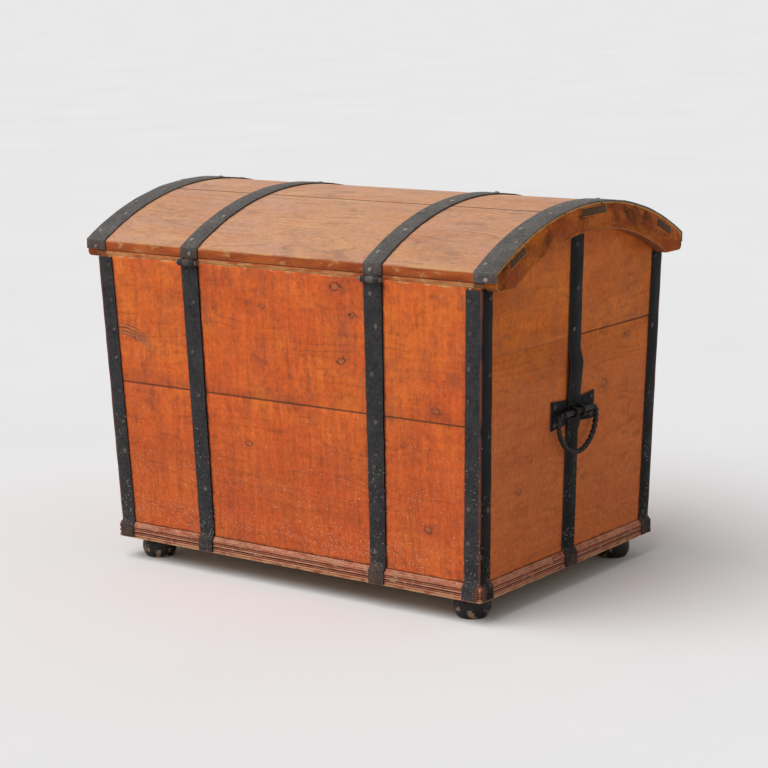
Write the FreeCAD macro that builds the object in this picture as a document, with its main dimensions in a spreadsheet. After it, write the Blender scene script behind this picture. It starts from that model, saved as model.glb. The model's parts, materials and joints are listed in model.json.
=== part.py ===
import FreeCAD, Part
import Sketcher
import math
import os

doc = FreeCAD.newDocument("folk_art_chest")
sheet = doc.addObject("Spreadsheet::Sheet", "sizes")

# Driving sizes in millimetres. X runs along the chest, +Y is the hinge side, Z is up and the feet stand on zero.
DRIVING = (
    # Board carcass, measured on the wood at the seam under the lid
    ("body_length", "895"),
    ("body_depth", "605"),
    ("seam_height", "605"),
    ("end_lean", "21.6"),
    ("side_lean", "13.8"),
    ("wall_thick", "27"),
    ("back_joint_z", "358"),
    ("end_joint_z", "478"),
    ("floor_thick", "20"),
    ("floor_joint", "98"),
    # Base moulding
    ("foot_height", "43"),
    ("rail_height", "31"),
    ("rail_reach", "8"),
    ("rail_land", "1.5"),
    ("rail_slope", "6"),
    ("rail_mitre", "16"),
    ("groove_width", "4"),
    ("groove_deep", "2.4"),
    # Bun feet and the pegs turned on them
    ("foot_radius", "34"),
    ("foot_base", "26"),
    ("foot_inset", "47"),
    ("peg_radius", "12"),
    ("peg_rise", "16"),
    # Domed lid
    ("lid_overhang", "25"),
    ("rim_height", "27"),
    ("dome_rise", "89"),
    ("lid_thick", "28"),
    ("lid_gap", "0.4"),
    ("plank_joint", "100"),
    ("cleat_gap", "7"),
    ("cleat_thick", "25"),
    ("cleat_deep", "49"),
    ("cleat_drop", "5"),
    ("cleat_seat", "55"),
    ("cleat_round", "10"),
    ("tenon_thick", "13"),
    ("tenon_wide", "80"),
    ("side_tenon_wide", "54"),
    ("side_tenon_inset", "66"),
    # Straps and corner irons
    ("strap_thick", "3"),
    ("strap_head_wide", "40"),
    ("strap_foot_wide", "34"),
    ("strap_head_place", "216"),
    ("strap_foot_place", "205"),
    ("strap_lift", "2"),
    ("lap_length", "17"),
    ("lid_end_strap_wide", "47"),
    ("end_strap_wide", "39"),
    ("end_strap_gap", "5"),
    ("corner_thick", "2.5"),
    ("flange_wide", "31"),
    ("slit_wide", "13"),
    ("iron_drop", "4"),
    # Strap hinges
    ("pin_radius", "3.5"),
    ("pin_play", "0.05"),
    ("eye_radius", "6.5"),
    ("hinge_gap", "0.5"),
    ("tongue_wide", "17"),
    ("knuckle_play", "0.6"),
    ("pin_head_radius", "5"),
    ("pin_head_long", "3.5"),
    # Handle plate, staples and ring at each end
    ("plate_wide", "145"),
    ("plate_tall", "54"),
    ("plate_thick", "3"),
    ("plate_waist", "4"),
    ("plate_z", "339"),
    ("bar_radius", "5.5"),
    ("twist_pitch", "43"),
    ("ring_wide", "139"),
    ("ring_corner", "11"),
    ("ring_z", "339"),
    ("ring_gap", "1.5"),
    ("staple_wire", "2.5"),
    ("staple_play", "0.6"),
    ("staple_place", "12"),
    ("staple_reach", "24"),
    ("kink_z", "431"),
    ("kink_reach", "7"),
    ("kink_rise", "24"),
    ("kink_flat", "8"),
    ("strap_ramp", "14"),
    # Chest lock behind the front
    ("lock_wide", "110"),
    ("lock_tall", "92"),
    ("lock_deep", "24"),
    ("lock_wall", "2.5"),
    ("lock_drop", "13"),
    ("bolt_long", "42"),
    ("bolt_tall", "12"),
    ("bolt_thick", "7"),
    ("bolt_drop", "8"),
    ("ledge_tall", "7"),
    ("catch_thick", "6"),
    ("catch_bar", "3.5"),
    ("catch_play", "0.8"),
    ("catch_inset", "12.5"),
    ("catch_plate_wide", "40"),
    ("catch_plate_thick", "3"),
    ("bolt_gap", "2"),
    ("slot_play", "2"),
    ("keyhole_radius", "5.5"),
    ("keyhole_slot", "5"),
    ("keyhole_tall", "16"),
    ("keyhole_drop", "44"),
    # Room that cutting tools run past the wood
    ("overrun", "30"),
)

# Sizes worked out from the driving ones
DERIVED = [
    ("half_length", "body_length / 2"),
    ("half_depth", "body_depth / 2"),
    ("floor_top", "foot_height + floor_thick"),
    ("rail_top", "foot_height + rail_height"),
    ("end_slope_share", "end_lean / (seam_height - rail_top)"),
    ("side_slope_share", "side_lean / (seam_height - rail_top)"),
    ("iron_top", "seam_height - iron_drop"),
    # Lid section: the arc of the dome stands over the middle of the lid, not of the body
    ("lid_depth", "body_depth + lid_overhang"),
    ("lid_half", "lid_depth / 2"),
    ("lid_back_y", "half_depth"),
    ("lid_front_y", "half_depth - lid_depth"),
    ("lid_mid_y", "half_depth - lid_half"),
    ("lip_z", "seam_height + rim_height"),
    ("crown_z", "lip_z + dome_rise"),
    ("dome_radius", "(lid_half^2 + dome_rise^2) / (2 * dome_rise)"),
    ("dome_z", "crown_z - dome_radius"),
    ("vault_radius", "dome_radius - lid_thick"),
    ("arch_radius", "vault_radius - lid_gap"),
    ("plank_reach", "half_length + cleat_gap"),
    ("lid_reach", "plank_reach + cleat_thick"),
    ("plank_joint_back", "lid_mid_y + plank_joint"),
    ("plank_joint_front", "lid_mid_y - plank_joint"),
    ("cleat_low_z", "seam_height - cleat_drop"),
    ("cleat_round_z", "cleat_low_z + cleat_round"),
    ("cleat_crown_z", "crown_z - cleat_deep"),
    ("cleat_half", "lid_half - cleat_seat"),
    ("cleat_sag", "cleat_crown_z - cleat_low_z"),
    ("cleat_radius", "(cleat_half^2 + cleat_sag^2) / (2 * cleat_sag)"),
    ("cleat_z", "cleat_crown_z - cleat_radius"),
    ("cleat_back_y", "lid_mid_y + cleat_half"),
    ("cleat_front_y", "lid_mid_y - cleat_half"),
    ("cleat_back_round", "lid_back_y - cleat_round"),
    ("cleat_front_round", "lid_front_y + cleat_round"),
    ("tenon_half", "tenon_wide / 2"),
    ("side_tenon_half", "side_tenon_wide / 2"),
    ("side_tenon_place", "lid_half - side_tenon_inset"),
    ("tenon_mid", "dome_radius - lid_thick / 2"),
    ("tenon_low", "tenon_mid - tenon_thick / 2"),
    ("tenon_high", "tenon_mid + tenon_thick / 2"),
    ("no_tilt", "0"),
    ("back_tilt", "-asin(side_tenon_place / tenon_mid)"),
    ("front_tilt", "asin(side_tenon_place / tenon_mid)"),
    # Straps over the dome
    ("strap_back_y", "lid_back_y + strap_thick"),
    ("strap_front_y", "lid_front_y - strap_thick"),
    ("strap_lip_z", "dome_z + sqrt((dome_radius + strap_thick)^2 - (lid_half + strap_thick)^2)"),
    ("lap_z", "lip_z - lap_length"),
    ("lid_end_strap_in", "lid_reach - lid_end_strap_wide"),
    # Strap hinges
    ("hinge_y", "half_depth + hinge_gap + eye_radius"),
    ("bore_radius", "pin_radius + pin_play"),
    ("strap_in", "strap_head_place - strap_head_wide / 2"),
    ("strap_out", "strap_head_place + strap_head_wide / 2"),
    ("strap_foot_in", "strap_foot_place - strap_foot_wide / 2"),
    ("strap_foot_out", "strap_foot_place + strap_foot_wide / 2"),
    ("tongue_in", "strap_head_place - tongue_wide / 2"),
    ("tongue_out", "strap_head_place + tongue_wide / 2"),
    ("notch_in", "tongue_in - knuckle_play"),
    ("notch_out", "tongue_out + knuckle_play"),
    ("strap_in_past", "strap_in - overrun"),
    ("strap_out_past", "strap_out + overrun"),
    ("eye_low_z", "seam_height - eye_radius - knuckle_play"),
    ("eye_high_z", "seam_height + eye_radius + knuckle_play"),
    ("eye_past_z", "eye_high_z + overrun"),
    ("eye_under_z", "eye_low_z - overrun"),
    ("hinge_in_y", "half_depth - overrun"),
    ("hinge_out_y", "hinge_y + overrun"),
    ("pin_in", "strap_in - pin_head_long"),
    ("pin_out", "strap_out + pin_head_long"),
    # The chest is centred between the lid's front straps and the hinge eyes
    ("middle", "(-strap_front_y - hinge_y - eye_radius) / 2"),
    # Base moulding section, taken off the wall planes
    ("rail_slope_z", "rail_top - rail_slope"),
    ("groove_pitch", "(rail_slope_z - foot_height) / 3"),
    ("groove_1_low", "foot_height + groove_pitch - groove_width / 2"),
    ("groove_1_mid", "foot_height + groove_pitch"),
    ("groove_1_high", "foot_height + groove_pitch + groove_width / 2"),
    ("groove_2_low", "foot_height + 2 * groove_pitch - groove_width / 2"),
    ("groove_2_mid", "foot_height + 2 * groove_pitch"),
    ("groove_2_high", "foot_height + 2 * groove_pitch + groove_width / 2"),
    ("rail_over_z", "rail_top + overrun"),
    ("strap_end_z", "foot_height + strap_lift"),
    ("strap_bend_z", "rail_top + strap_thick"),
    ("strap_knee_z", "rail_slope_z + strap_thick / 2"),
    ("corner_bend_z", "rail_top + corner_thick"),
    ("corner_knee_z", "rail_slope_z + corner_thick / 2"),
    ("slit_half", "slit_wide / 2"),
    # End strap, bent out above the handle plate
    ("end_strap_half", "end_strap_wide / 2"),
    ("end_strap_top", "cleat_crown_z - end_strap_gap"),
    ("kink_start_z", "kink_z + kink_rise"),
    ("kink_low_z", "kink_z - kink_flat"),
    ("plate_half", "plate_wide / 2"),
    ("plate_top_z", "plate_z + plate_tall / 2"),
    ("plate_low_z", "plate_z - plate_tall / 2"),
    ("ramp_z", "plate_low_z - strap_ramp"),
    # Handle plate outline with hollow upper and lower edges
    ("waist_radius", "(plate_half^2 + plate_waist^2) / (2 * plate_waist)"),
    ("waist_top_z", "plate_top_z - plate_waist + waist_radius"),
    ("waist_low_z", "plate_low_z + plate_waist - waist_radius"),
    # Ring handle on its centre line
    ("ring_half", "ring_wide / 2 - bar_radius"),
    ("ring_flat", "ring_half - ring_corner"),
    ("ring_side_z", "ring_z - ring_corner"),
    ("loop_radius", "bar_radius + staple_play + staple_wire"),
    ("loop_high_z", "ring_z + loop_radius"),
    ("loop_low_z", "ring_z - loop_radius"),
    ("journal_radius", "bar_radius * 1.03"),
    ("journal_half", "ring_flat - bar_radius"),
    # Feet
    ("foot_swell", "foot_radius - foot_base"),
    ("foot_half", "foot_height / 2"),
    ("foot_arc", "(foot_half^2 + foot_swell^2) / (2 * foot_swell)"),
    ("foot_arc_x", "foot_radius - foot_arc"),
    ("peg_top", "foot_height + peg_rise"),
    # Lock
    ("lock_half", "lock_wide / 2"),
    ("lock_top", "seam_height - lock_drop"),
    ("lock_low", "lock_top - lock_tall"),
    ("lock_room_half", "lock_half - lock_wall"),
    ("lock_room_top", "lock_top - lock_wall"),
    ("lock_room_low", "lock_low + lock_wall"),
    ("bolt_top", "lock_room_top - bolt_drop"),
    ("bolt_low", "bolt_top - bolt_tall"),
    ("catch_half", "catch_thick / 2"),
    ("bolt_tip", "-(catch_half + bolt_gap)"),
    ("bolt_tail", "bolt_tip - bolt_long"),
    ("ledge_low", "bolt_low - ledge_tall"),
    ("catch_y", "-(half_depth - wall_thick - catch_inset)"),
    ("bolt_front_y", "catch_y - bolt_thick / 2"),
    ("bolt_back_y", "catch_y + bolt_thick / 2"),
    ("window_front_y", "bolt_front_y - catch_play"),
    ("window_back_y", "bolt_back_y + catch_play"),
    ("catch_front_y", "window_front_y - catch_bar"),
    ("catch_back_y", "window_back_y + catch_bar"),
    ("window_low", "bolt_low - catch_play"),
    ("catch_low", "window_low - catch_bar"),
    ("catch_past_z", "crown_z"),
    ("window_high", "lock_top + lock_drop"),
    ("slot_half", "catch_half + slot_play"),
    ("slot_front_y", "catch_front_y - slot_play"),
    ("slot_back_y", "catch_back_y + slot_play"),
    ("slot_past_z", "lock_top + overrun"),
    ("catch_plate_half", "catch_plate_wide / 2"),
    ("catch_plate_radius", "vault_radius - catch_plate_thick"),
    ("keyhole_z", "lock_top - keyhole_drop"),
    ("keyhole_half", "keyhole_slot / 2"),
    ("keyhole_low", "keyhole_z - keyhole_tall"),
    ("keyhole_in_y", "-(half_depth - wall_thick - lock_deep / 2)"),
    ("keyhole_out_y", "-(half_depth + overrun)"),
]

# What is measured on the leaning walls, {0} standing for a level's name and {1} for its height
MEASURES = {
    "reach": "half_length - end_slope_share * (seam_height - {1})",
    "depth": "half_depth - side_slope_share * (seam_height - {1})",
    "inner_reach": "reach_{0} - wall_thick",
    "inner_depth": "depth_{0} - wall_thick",
    "strap_reach": "reach_{0} + strap_thick",
    "strap_depth": "depth_{0} + strap_thick",
    "corner_reach": "reach_{0} + corner_thick",
    "corner_depth": "depth_{0} + corner_thick",
    "flange_reach": "reach_{0} - flange_wide",
    "flange_depth": "depth_{0} - flange_wide",
    "plate_reach": "reach_{0} + plate_thick",
    "over_plate": "plate_reach_{0} + strap_thick",
    "lock_back": "inner_depth_{0} - lock_deep",
    "lock_bay": "inner_depth_{0} - lock_deep + lock_wall",
}

# Levels of the walls, their heights and what is measured at each
FLANGE_LINES = ("reach", "depth", "corner_reach", "corner_depth", "flange_reach", "flange_depth")
LEVELS = (
    ("low", "foot_height", FLANGE_LINES + ("plate_reach",)),
    ("floor", "floor_top", ("reach", "depth", "inner_reach", "inner_depth")),
    ("rail", "rail_top", ("reach", "depth")),
    ("strap_bend", "strap_bend_z", ("reach", "depth", "strap_reach", "strap_depth")),
    ("corner_bend", "corner_bend_z", ("reach", "depth", "corner_reach", "corner_depth")),
    ("back_joint", "back_joint_z", ("reach", "depth", "inner_depth")),
    ("end_joint", "end_joint_z", ("reach", "depth", "inner_reach")),
    ("iron", "iron_top", FLANGE_LINES + ("strap_depth",)),
    ("seam", "seam_height", ("reach", "depth", "inner_depth", "strap_depth", "plate_reach")),
    ("crown", "crown_z", ("reach", "depth", "inner_reach", "inner_depth")),
    ("ramp", "ramp_z", ("reach", "strap_reach")),
    ("plate_low", "plate_low_z", ("reach", "plate_reach", "over_plate")),
    ("ring", "ring_z", ("reach", "plate_reach", "over_plate")),
    ("plate_top", "plate_top_z", ("reach", "plate_reach", "over_plate")),
    ("kink_low", "kink_low_z", ("reach",)),
    ("kink", "kink_z", ("reach",)),
    ("kink_start", "kink_start_z", ("reach", "strap_reach")),
    ("end_top", "end_strap_top", ("reach", "strap_reach")),
    ("lock_low", "lock_low", ("depth", "inner_depth", "lock_back")),
    ("lock_room_low", "lock_room_low", ("depth", "inner_depth", "lock_bay")),
    ("lock_room_top", "lock_room_top", ("depth", "inner_depth", "lock_bay")),
    ("lock_top", "lock_top", ("depth", "inner_depth", "lock_back")),
)
for level, height, measures in LEVELS:
    for measure in measures:
        DERIVED.append((f"{measure}_{level}", MEASURES[measure].format(level, height)))

for side in ("reach", "depth"):
    DERIVED.append((f"rail_face_{side}", f"{side}_low + rail_reach"))
    DERIVED.append((f"rail_lip_{side}", f"{side}_rail + rail_land"))
    DERIVED.append((f"rail_groove_{side}", f"rail_face_{side} - groove_deep"))
    DERIVED.append((f"rail_mitre_{side}", f"rail_face_{side} - rail_mitre"))
    DERIVED.append((f"strap_face_{side}", f"rail_face_{side} + strap_thick"))
    DERIVED.append((f"corner_face_{side}", f"rail_face_{side} + corner_thick"))
    DERIVED.append((f"past_{side}", f"{side}_crown + overrun"))
    DERIVED.append((f"foot_{side}", f"{side}_low - foot_inset"))
DERIVED.append(("bulge_in", "reach_kink + kink_reach"))
DERIVED.append(("bulge_out", "bulge_in + strap_thick"))
DERIVED.append(("bulge_low_in", "reach_kink_low + kink_reach"))
DERIVED.append(("bulge_low_out", "bulge_low_in + strap_thick"))
DERIVED.append(("ledge_back_y", "-(lock_back_lock_low + lock_wall / 2)"))
DERIVED.append(("ring_x", "over_plate_ring + ring_gap + bar_radius"))
DERIVED.append(("staple_x", "ring_x - staple_reach"))

# Dovetails: four on each end of a lower long board and three on an upper one, flared towards the board's end
TAIL_SHARE = 0.5
FLARE_SHARE = 0.16
DERIVED.append(("tail_root", "inner_reach_floor"))
DERIVED.append(("tail_tip", "past_reach"))
TAILS = []
for board, low, high, count in (("low", "floor_top", "back_joint_z", 4), ("high", "back_joint_z", "seam_height", 3)):
    for index in range(count):
        tail = f"tail_{board}_{index + 1}"
        place_share = (index + 0.5) / count
        root_share = TAIL_SHARE / count / 2
        DERIVED.append((f"{tail}_z", f"{low} + ({high} - {low}) * {place_share}"))
        DERIVED.append((f"{tail}_root", f"({high} - {low}) * {root_share}"))
        DERIVED.append((f"{tail}_tip", f"{tail}_root + {FLARE_SHARE} * (tail_tip - tail_root)"))
        for part in ("root", "tip"):
            DERIVED.append((f"{tail}_{part}_low", f"{tail}_z - {tail}_{part}"))
            DERIVED.append((f"{tail}_{part}_high", f"{tail}_z + {tail}_{part}"))
        TAILS.append(tail)

row = 0
for alias, number in DRIVING:
    row = row + 1
    sheet.set(f"A{row}", alias)
    sheet.set(f"B{row}", number)
    sheet.setAlias(f"B{row}", alias)
for alias, rule in DERIVED:
    row = row + 1
    sheet.set(f"A{row}", alias)
    sheet.set(f"B{row}", "=" + rule)
    sheet.setAlias(f"B{row}", alias)
doc.recompute()

ALONG = FreeCAD.Vector(1, 0, 0)
ACROSS = FreeCAD.Vector(0, 1, 0)
UPRIGHT = FreeCAD.Vector(0, 0, 1)
DIAGONAL = FreeCAD.Vector(1, 1, 1)
ORIGIN = FreeCAD.Vector(0, 0, 0)
nodes = []


def minus(name):
    """Name of the same size on the other side of zero."""
    if name == "zero":
        return name
    return name[1:] if name.startswith("-") else "-" + name


def rule(name):
    """Formula that reads a size from the sheet."""
    if name == "zero":
        return "0"
    return "-sizes." + name[1:] if name.startswith("-") else "sizes." + name


def value(name):
    """Number behind a size's name."""
    if name == "zero":
        return 0.0
    number = sheet.get(name.lstrip("-"))
    return -float(number) if name.startswith("-") else float(number)


def bind(thing, **sizes):
    """Ties properties of an object to sizes in the sheet."""
    for prop, name in sizes.items():
        thing.setExpression(prop, rule(name))
    return thing


def place(thing, x="zero", y="zero", z="zero"):
    """Puts an object at a spot measured from the middle of the body."""
    thing.setExpression(".Placement.Base.x", rule(x))
    thing.setExpression(".Placement.Base.y", rule(y) + " + sizes.middle")
    thing.setExpression(".Placement.Base.z", rule(z))
    return thing


def turned(thing, axis, angle):
    """Turns an object about its own origin."""
    thing.Placement = FreeCAD.Placement(ORIGIN, FreeCAD.Rotation(axis, angle))
    return thing


def pin_point(sketch, edge, point, across, up):
    """Fixes a point of a sketch at two sizes, or on an axis where one is zero."""
    for kind, axis, name in (("DistanceX", -2, across), ("DistanceY", -1, up)):
        if name == "free":
            continue
        if name == "zero":
            sketch.addConstraint(Sketcher.Constraint("PointOnObject", edge, point, axis))
            continue
        index = sketch.addConstraint(Sketcher.Constraint(kind, -1, 1, edge, point, value(name)))
        sketch.setExpression(f"Constraints[{index}]", rule(name))


def bearing(spot, centre):
    """Angle of a spot seen from a centre."""
    return math.atan2(spot.y - centre.y, spot.x - centre.x)


def trace(sketch, path):
    """Draws a closed outline: (u, v) is a straight edge to that spot, (u, v, cu, cv, turn) an arc about (cu, cv)."""
    spots = [FreeCAD.Vector(value(step[0]), value(step[1]), 0) for step in path]
    edges = []
    for index, step in enumerate(path):
        start = spots[index - 1]
        stop = spots[index]
        if len(step) == 2:
            edge = sketch.addGeometry(Part.LineSegment(start, stop), False)
            edges.append((edge, 1, 2, step))
            continue
        centre = FreeCAD.Vector(value(step[2]), value(step[3]), 0)
        circle = Part.Circle(centre, UPRIGHT, (stop - centre).Length)
        if step[4] == "left":
            arc = Part.ArcOfCircle(circle, bearing(start, centre), bearing(stop, centre))
            edges.append((sketch.addGeometry(arc, False), 1, 2, step))
        else:
            arc = Part.ArcOfCircle(circle, bearing(stop, centre), bearing(start, centre))
            edges.append((sketch.addGeometry(arc, False), 2, 1, step))
    for index, (edge, start, stop, step) in enumerate(edges):
        after = edges[(index + 1) % len(edges)]
        sketch.addConstraint(Sketcher.Constraint("Coincident", edge, stop, after[0], after[1]))
        pin_point(sketch, edge, stop, step[0], step[1])
        if len(step) > 2 and step[1] == path[path.index(step) - 1][1]:
            pin_point(sketch, edge, 3, "free", step[3])
        elif len(step) > 2:
            pin_point(sketch, edge, 3, step[2], "free")


def sketch_on(body, name, role, offset="zero"):
    """Empty sketch on one of a body's origin planes, moved out along its normal."""
    sketch = body.newObject("Sketcher::SketchObject", name)
    flat = [plane for plane in body.Origin.OriginFeatures if plane.Role == role][0]
    sketch.AttachmentSupport = [(flat, "")]
    sketch.MapMode = "FlatFace"
    sketch.setExpression(".AttachmentOffset.Base.z", rule(offset))
    return sketch


def prism(name, role, paths, low, high):
    """Body padded from one or more outlines between two places along the normal of their plane."""
    body = doc.addObject("PartDesign::Body", name)
    sketch = sketch_on(body, name + "_outline", role, low)
    for path in paths:
        trace(sketch, path)
    pad = body.newObject("PartDesign::Pad", name + "_pad")
    pad.Profile = sketch
    pad.setExpression("Length", rule(high) + " - (" + rule(low) + ")")
    return place(body)


def wedge(name, low, high, west, east, south, north):
    """Upright block with leaning sides: each side is a pair of places, at its low and its high end."""
    block = turned(doc.addObject("Part::Wedge", name), ALONG, 90)
    bind(block, Ymin=low, Ymax=high)
    bind(block, Xmin=west[0], X2min=west[1], Xmax=east[0], X2max=east[1])
    bind(block, Zmin=minus(north[0]), Z2min=minus(north[1]), Zmax=minus(south[0]), Z2max=minus(south[1]))
    return place(block)


def box(name, west, east, south, north, low, high):
    """Square block between six places."""
    block = doc.addObject("Part::Box", name)
    block.setExpression("Length", rule(east) + " - (" + rule(west) + ")")
    block.setExpression("Width", rule(north) + " - (" + rule(south) + ")")
    block.setExpression("Height", rule(high) + " - (" + rule(low) + ")")
    return place(block, west, south, low)


def rod(name, radius, west, east, y, z):
    """Round bar along the chest."""
    bar = turned(doc.addObject("Part::Cylinder", name), ACROSS, 90)
    bind(bar, Radius=radius)
    bar.setExpression("Height", rule(east) + " - (" + rule(west) + ")")
    return place(bar, west, y, z)


def cut(name, base, *tools):
    """Base with each tool taken out of it in turn."""
    for index, tool in enumerate(tools):
        last = index + 1 == len(tools)
        result = doc.addObject("Part::Cut", name if last else f"{name}_cut_{index + 1}")
        result.Base = base
        result.Tool = tool
        result.Refine = False
        base = result
    return base


def common(name, base, tool):
    """What two shapes share."""
    result = doc.addObject("Part::Common", name)
    result.Base = base
    result.Tool = tool
    result.Refine = False
    return result


def fuse(name, *shapes):
    """Several shapes as one piece."""
    result = doc.addObject("Part::MultiFuse", name)
    result.Shapes = list(shapes)
    result.Refine = False
    return result


def group(name, *shapes):
    """Separate alike solids kept together."""
    result = doc.addObject("Part::Compound", name)
    result.Links = list(shapes)
    return result


def flipped(name, source, normal):
    """Copy mirrored in the middle plane across the given direction."""
    copy = doc.addObject("Part::Mirroring", name)
    copy.Source = source
    copy.Normal = normal
    copy.setExpression(".Base.y", "sizes.middle")
    return copy


def keep(piece, label):
    """Marks a finished sub-part and gives it its name."""
    piece.Label = label
    nodes.append((label, piece))
    return piece


def pair(piece, stem):
    """Finished piece at the right end and its mirror image at the left end."""
    keep(piece, stem + "_right")
    return keep(flipped(stem + "_mirrored", piece, ALONG), stem + "_left")


def both(name):
    """The same place at the low and the high end of a block."""
    return (name, name)


def lean(stem, low, high):
    """A leaning side's places at two heights."""
    return (f"{stem}_{low}", f"{stem}_{high}")


def opposed(sides):
    """Leaning side across the middle."""
    return (minus(sides[0]), minus(sides[1]))


# Space under the lid: what the walls may fill
vault = rod("vault", "arch_radius", "-past_reach", "past_reach", "lid_mid_y", "dome_z")
under_seam = box("under_seam", "-past_reach", "past_reach", "-past_depth", "past_depth", "zero", "seam_height")
wall_room = fuse("wall_room", vault, under_seam)

# Dovetail sockets at the right end, run through from front to back
tail_paths = []
for tail in TAILS:
    tail_paths.append((
        ("tail_root", f"{tail}_root_low"),
        ("tail_tip", f"{tail}_tip_low"),
        ("tail_tip", f"{tail}_tip_high"),
        ("tail_root", f"{tail}_root_high"),
    ))
tails_right = prism("tails_right", "XZ_Plane", tail_paths, "-past_depth", "past_depth")

# Walls as plain leaning slabs, before the corner joints are cut
def long_slab(name, low, high, low_z, high_z):
    """Slab of the back wall between two levels."""
    ends = lean("reach", low, high)
    return wedge(name, low_z, high_z, opposed(ends), ends, lean("inner_depth", low, high), lean("depth", low, high))


def end_slab(name, low, high, low_z, high_z):
    """Slab of the right end wall between two levels."""
    sides = lean("depth", low, high)
    return wedge(name, low_z, high_z, lean("inner_reach", low, high), lean("reach", low, high), opposed(sides), sides)


end_wall = end_slab("end_wall", "floor", "crown", "floor_top", "crown_z")
back_wall = long_slab("back_wall", "floor", "crown", "floor_top", "crown_z")
front_wall = flipped("front_wall", back_wall, ACROSS)
pins_right = cut("pins_right", end_wall, tails_right)
pins_left = flipped("pins_left", pins_right, ALONG)
tails_back = common("tails_back", tails_right, back_wall)
tails_front = common("tails_front", tails_right, front_wall)

# Long boards with tails at both ends
back_lower = long_slab("back_lower_slab", "floor", "back_joint", "floor_top", "back_joint_z")
back_upper = long_slab("back_upper_slab", "back_joint", "seam", "back_joint_z", "seam_height")
keep(cut("back_lower", back_lower, pins_right, pins_left), "back_board_lower")
keep(cut("back_upper", back_upper, pins_right, pins_left), "back_board_upper")
front_lower = flipped("front_lower_slab", back_lower, ACROSS)
keep(cut("front_lower", front_lower, pins_right, pins_left), "front_board_lower")
front_high = long_slab("front_high_slab", "back_joint", "crown", "back_joint_z", "crown_z")
front_upper = common("front_upper_slab", flipped("front_high", front_high, ACROSS), wall_room)
keyhole_eye = turned(doc.addObject("Part::Cylinder", "keyhole_eye"), ALONG, 90)
bind(keyhole_eye, Radius="keyhole_radius")
keyhole_eye.setExpression("Height", "sizes.keyhole_in_y - sizes.keyhole_out_y")
place(keyhole_eye, "zero", "keyhole_in_y", "keyhole_z")
keyhole_leg = box(
    "keyhole_leg", "-keyhole_half", "keyhole_half", "keyhole_out_y", "keyhole_in_y", "keyhole_low", "keyhole_z"
)
keyhole = fuse("keyhole", keyhole_eye, keyhole_leg)
keep(cut("front_upper", front_upper, pins_right, pins_left, keyhole), "front_board_upper")

# Handle staples: two loops of wire round the ring's bar, driven through strap, plate and board
bow = turned(doc.addObject("Part::Torus", "staple_bow"), DIAGONAL, -120)
bind(bow, Radius1="loop_radius", Radius2="staple_wire")
bow.Angle3 = 180
place(bow, "ring_x", "staple_place", "ring_z")
leg_high = rod("staple_leg_high", "staple_wire", "staple_x", "ring_x", "staple_place", "loop_high_z")
leg_low = rod("staple_leg_low", "staple_wire", "staple_x", "ring_x", "staple_place", "loop_low_z")
staple_back = fuse("staple_back", bow, leg_high, leg_low)
staple_front = flipped("staple_front", staple_back, ACROSS)
pair(group("staples", staple_back, staple_front), "handle_staples")

# End boards, arched under the lid
end_lower = end_slab("end_lower_slab", "floor", "end_joint", "floor_top", "end_joint_z")
end_upper = common("end_upper_arch", end_slab("end_high", "end_joint", "crown", "end_joint_z", "crown_z"), wall_room)
pair(cut("end_lower", end_lower, tails_back, tails_front, staple_back, staple_front), "end_board_lower")
pair(cut("end_upper", end_upper, tails_back, tails_front), "end_board_upper")

# Bun foot with its peg, turned about its own axis
foot = doc.addObject("PartDesign::Body", "foot_turned")
foot_half = sketch_on(foot, "foot_section", "XZ_Plane")
trace(foot_half, (
    ("zero", "peg_top"),
    ("zero", "zero"),
    ("foot_base", "zero"),
    ("foot_base", "foot_height", "foot_arc_x", "foot_half", "left"),
    ("peg_radius", "foot_height"),
    ("peg_radius", "peg_top"),
))
spin = foot.newObject("PartDesign::Revolution", "foot_spin")
spin.Profile = foot_half
spin.ReferenceAxis = (foot_half, ["V_Axis"])
spin.Angle = 360
place(foot, "foot_reach", "foot_depth")
foot_front = flipped("foot_front", foot, ACROSS)
pair(foot, "foot_back")
pair(foot_front, "foot_front")
foot_left = nodes[-3][1]
foot_front_left = nodes[-1][1]

# Bottom boards under the walls, with holes for the pegs
floor_ends = lean("reach", "low", "floor")
floor_back = wedge(
    "floor_back_slab", "foot_height", "floor_top", opposed(floor_ends), floor_ends, both("floor_joint"),
    lean("depth", "low", "floor"),
)
floor_front = flipped("floor_front_slab", floor_back, ACROSS)
floor_middle = wedge(
    "floor_middle", "foot_height", "floor_top", opposed(floor_ends), floor_ends, both("-floor_joint"),
    both("floor_joint"),
)
keep(cut("floor_back", floor_back, foot, foot_left), "bottom_board_back")
keep(floor_middle, "bottom_board_middle")
keep(cut("floor_front", floor_front, foot_front, foot_front_left), "bottom_board_front")


# Reeded base moulding, mitred at the corners
def rail_path(side):
    """Section of the moulding against one leaning wall."""
    face = f"rail_face_{side}"
    groove = f"rail_groove_{side}"
    return (
        (f"{side}_low", "foot_height"),
        (face, "foot_height"),
        (face, "groove_1_low"),
        (groove, "groove_1_mid"),
        (face, "groove_1_high"),
        (face, "groove_2_low"),
        (groove, "groove_2_mid"),
        (face, "groove_2_high"),
        (face, "rail_slope_z"),
        (f"rail_lip_{side}", "rail_top"),
        (f"{side}_rail", "rail_top"),
    )


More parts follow.
